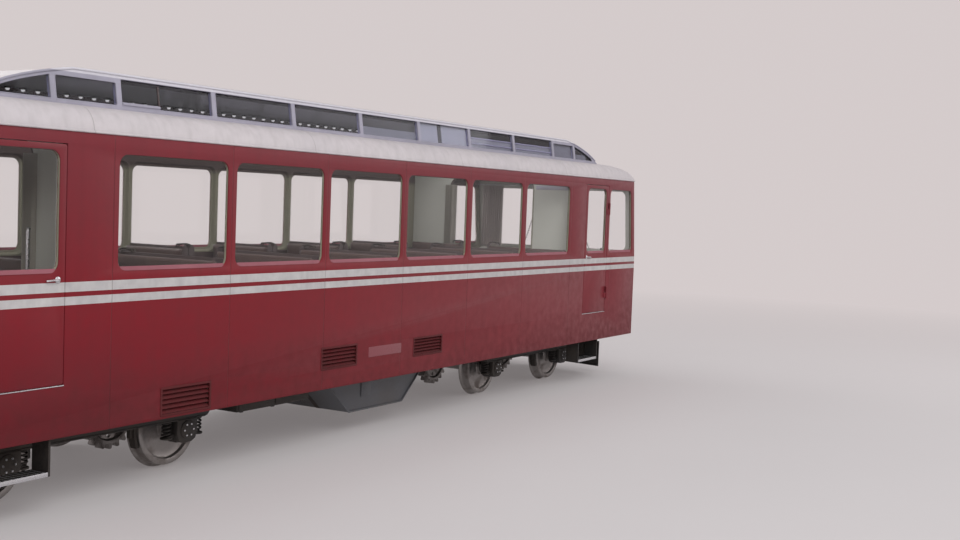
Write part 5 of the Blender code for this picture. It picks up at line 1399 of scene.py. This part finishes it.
def make_stage():
    """A pale floor that keeps the shadow near the car and has the background's colour far off."""
    bm = bmesh.new()
    bmesh.ops.create_grid(bm, x_segments=2, y_segments=2, size=160.0)
    floor = placed("studio_floor", mesh_of(bm, "studio_floor"))
    floor.location.z = -0.001
    s = Shader("studio_floor", (0.62, 0.60, 0.60), 0.8)
    s.done(s.mix(s.math("MULTIPLY", s.noise(0.4), 0.15), (0.66, 0.64, 0.64), (0.58, 0.56, 0.56)))
    path = s.node("LightPath").outputs
    seen = s.math("MAXIMUM", s.math("MAXIMUM", path["Is Camera Ray"], path["Is Glossy Ray"]),
                  path["Is Transmission Ray"])
    distance = s.node("VectorMath", {0: s.place}, operation="LENGTH").outputs["Value"]
    far = s.range(distance, 6.0, 26.0, 0.25, 1.0)
    floor.data.materials.append(s.blend(s.math("MULTIPLY", seen, far), s.node("Emission", {"Color": BACKGROUND})))


def make_lights():
    world = bpy.data.worlds.new("studio")
    world.use_nodes = True
    nodes, link = world.node_tree.nodes, world.node_tree.links.new
    back, seen, path, mix = nodes["Background"], *(
        nodes.new("ShaderNode" + kind) for kind in ("Background", "LightPath", "MixShader"))
    for node, colour, strength in ((back, (0.80, 0.79, 0.82), 0.62), (seen, BACKGROUND, 1.0)):
        node.inputs["Color"].default_value = (*colour, 1.0)
        node.inputs["Strength"].default_value = strength
    share = path.outputs["Is Camera Ray"]
    for other in ("Is Transmission Ray", "Is Glossy Ray"):
        either = nodes.new("ShaderNodeMath")
        either.operation = "MAXIMUM"
        link(share, either.inputs[0])
        link(path.outputs[other], either.inputs[1])
        share = either.outputs[0]
    for i, output in enumerate((share, back.outputs[0], seen.outputs[0])):
        link(output, mix.inputs[i])
    link(mix.outputs[0], nodes["World Output"].inputs["Surface"])
    bpy.context.scene.world = world
    for name, place, aim, size, power in (("key", (-10.0, -14.0, 13.0), (0.0, 0.0, 1.5), 12.0, 1500.0),
                                          ("fill", (12.0, -12.0, 9.0), (1.0, 0.0, 1.5), 12.0, 500.0),
                                          ("back", (2.0, 16.0, 12.0), (0.0, 0.0, 2.0), 14.0, 900.0)):
        lamp = bpy.data.lights.new(name, "AREA")
        lamp.shape, lamp.size, lamp.energy = "DISK", size, power
        made = placed(name, lamp)
        made.location = place
        made.rotation_euler = (Vector(aim) - Vector(place)).to_track_quat("-Z", "Y").to_euler()
    lamp = bpy.data.lights.new("saloon", "AREA")
    lamp.shape, lamp.size, lamp.size_y, lamp.energy = "RECTANGLE", 8.6, 1.4, 75.0
    made = placed("saloon", lamp)
    made.location = (0.0, 0.0, 3.52)
    made.visible_camera = made.visible_glossy = made.visible_transmission = False


def make_camera():
    yaw, pitch, roll = (math.radians(a) for a in (30.35, 3.15, 2.21))
    ahead = Vector((math.cos(yaw) * math.cos(pitch), math.sin(yaw) * math.cos(pitch), -math.sin(pitch)))
    level = Vector((math.sin(yaw), -math.cos(yaw), 0.0))
    upright = level.cross(ahead)
    right = math.cos(roll) * level + math.sin(roll) * upright
    up = -math.sin(roll) * level + math.cos(roll) * upright
    data = bpy.data.cameras.new("camera")
    data.sensor_width, data.lens, data.clip_end = 36.0, 45.0, 400.0
    made = placed("camera", data)
    turn = Matrix((right, up, -ahead)).transposed().to_4x4()
    made.matrix_world = Matrix.Translation((-11.239, -9.038, 2.622)) @ turn
    bpy.context.scene.camera = made


make_stage()
make_lights()
make_camera()
bpy.context.scene.view_settings.view_transform = "Standard"
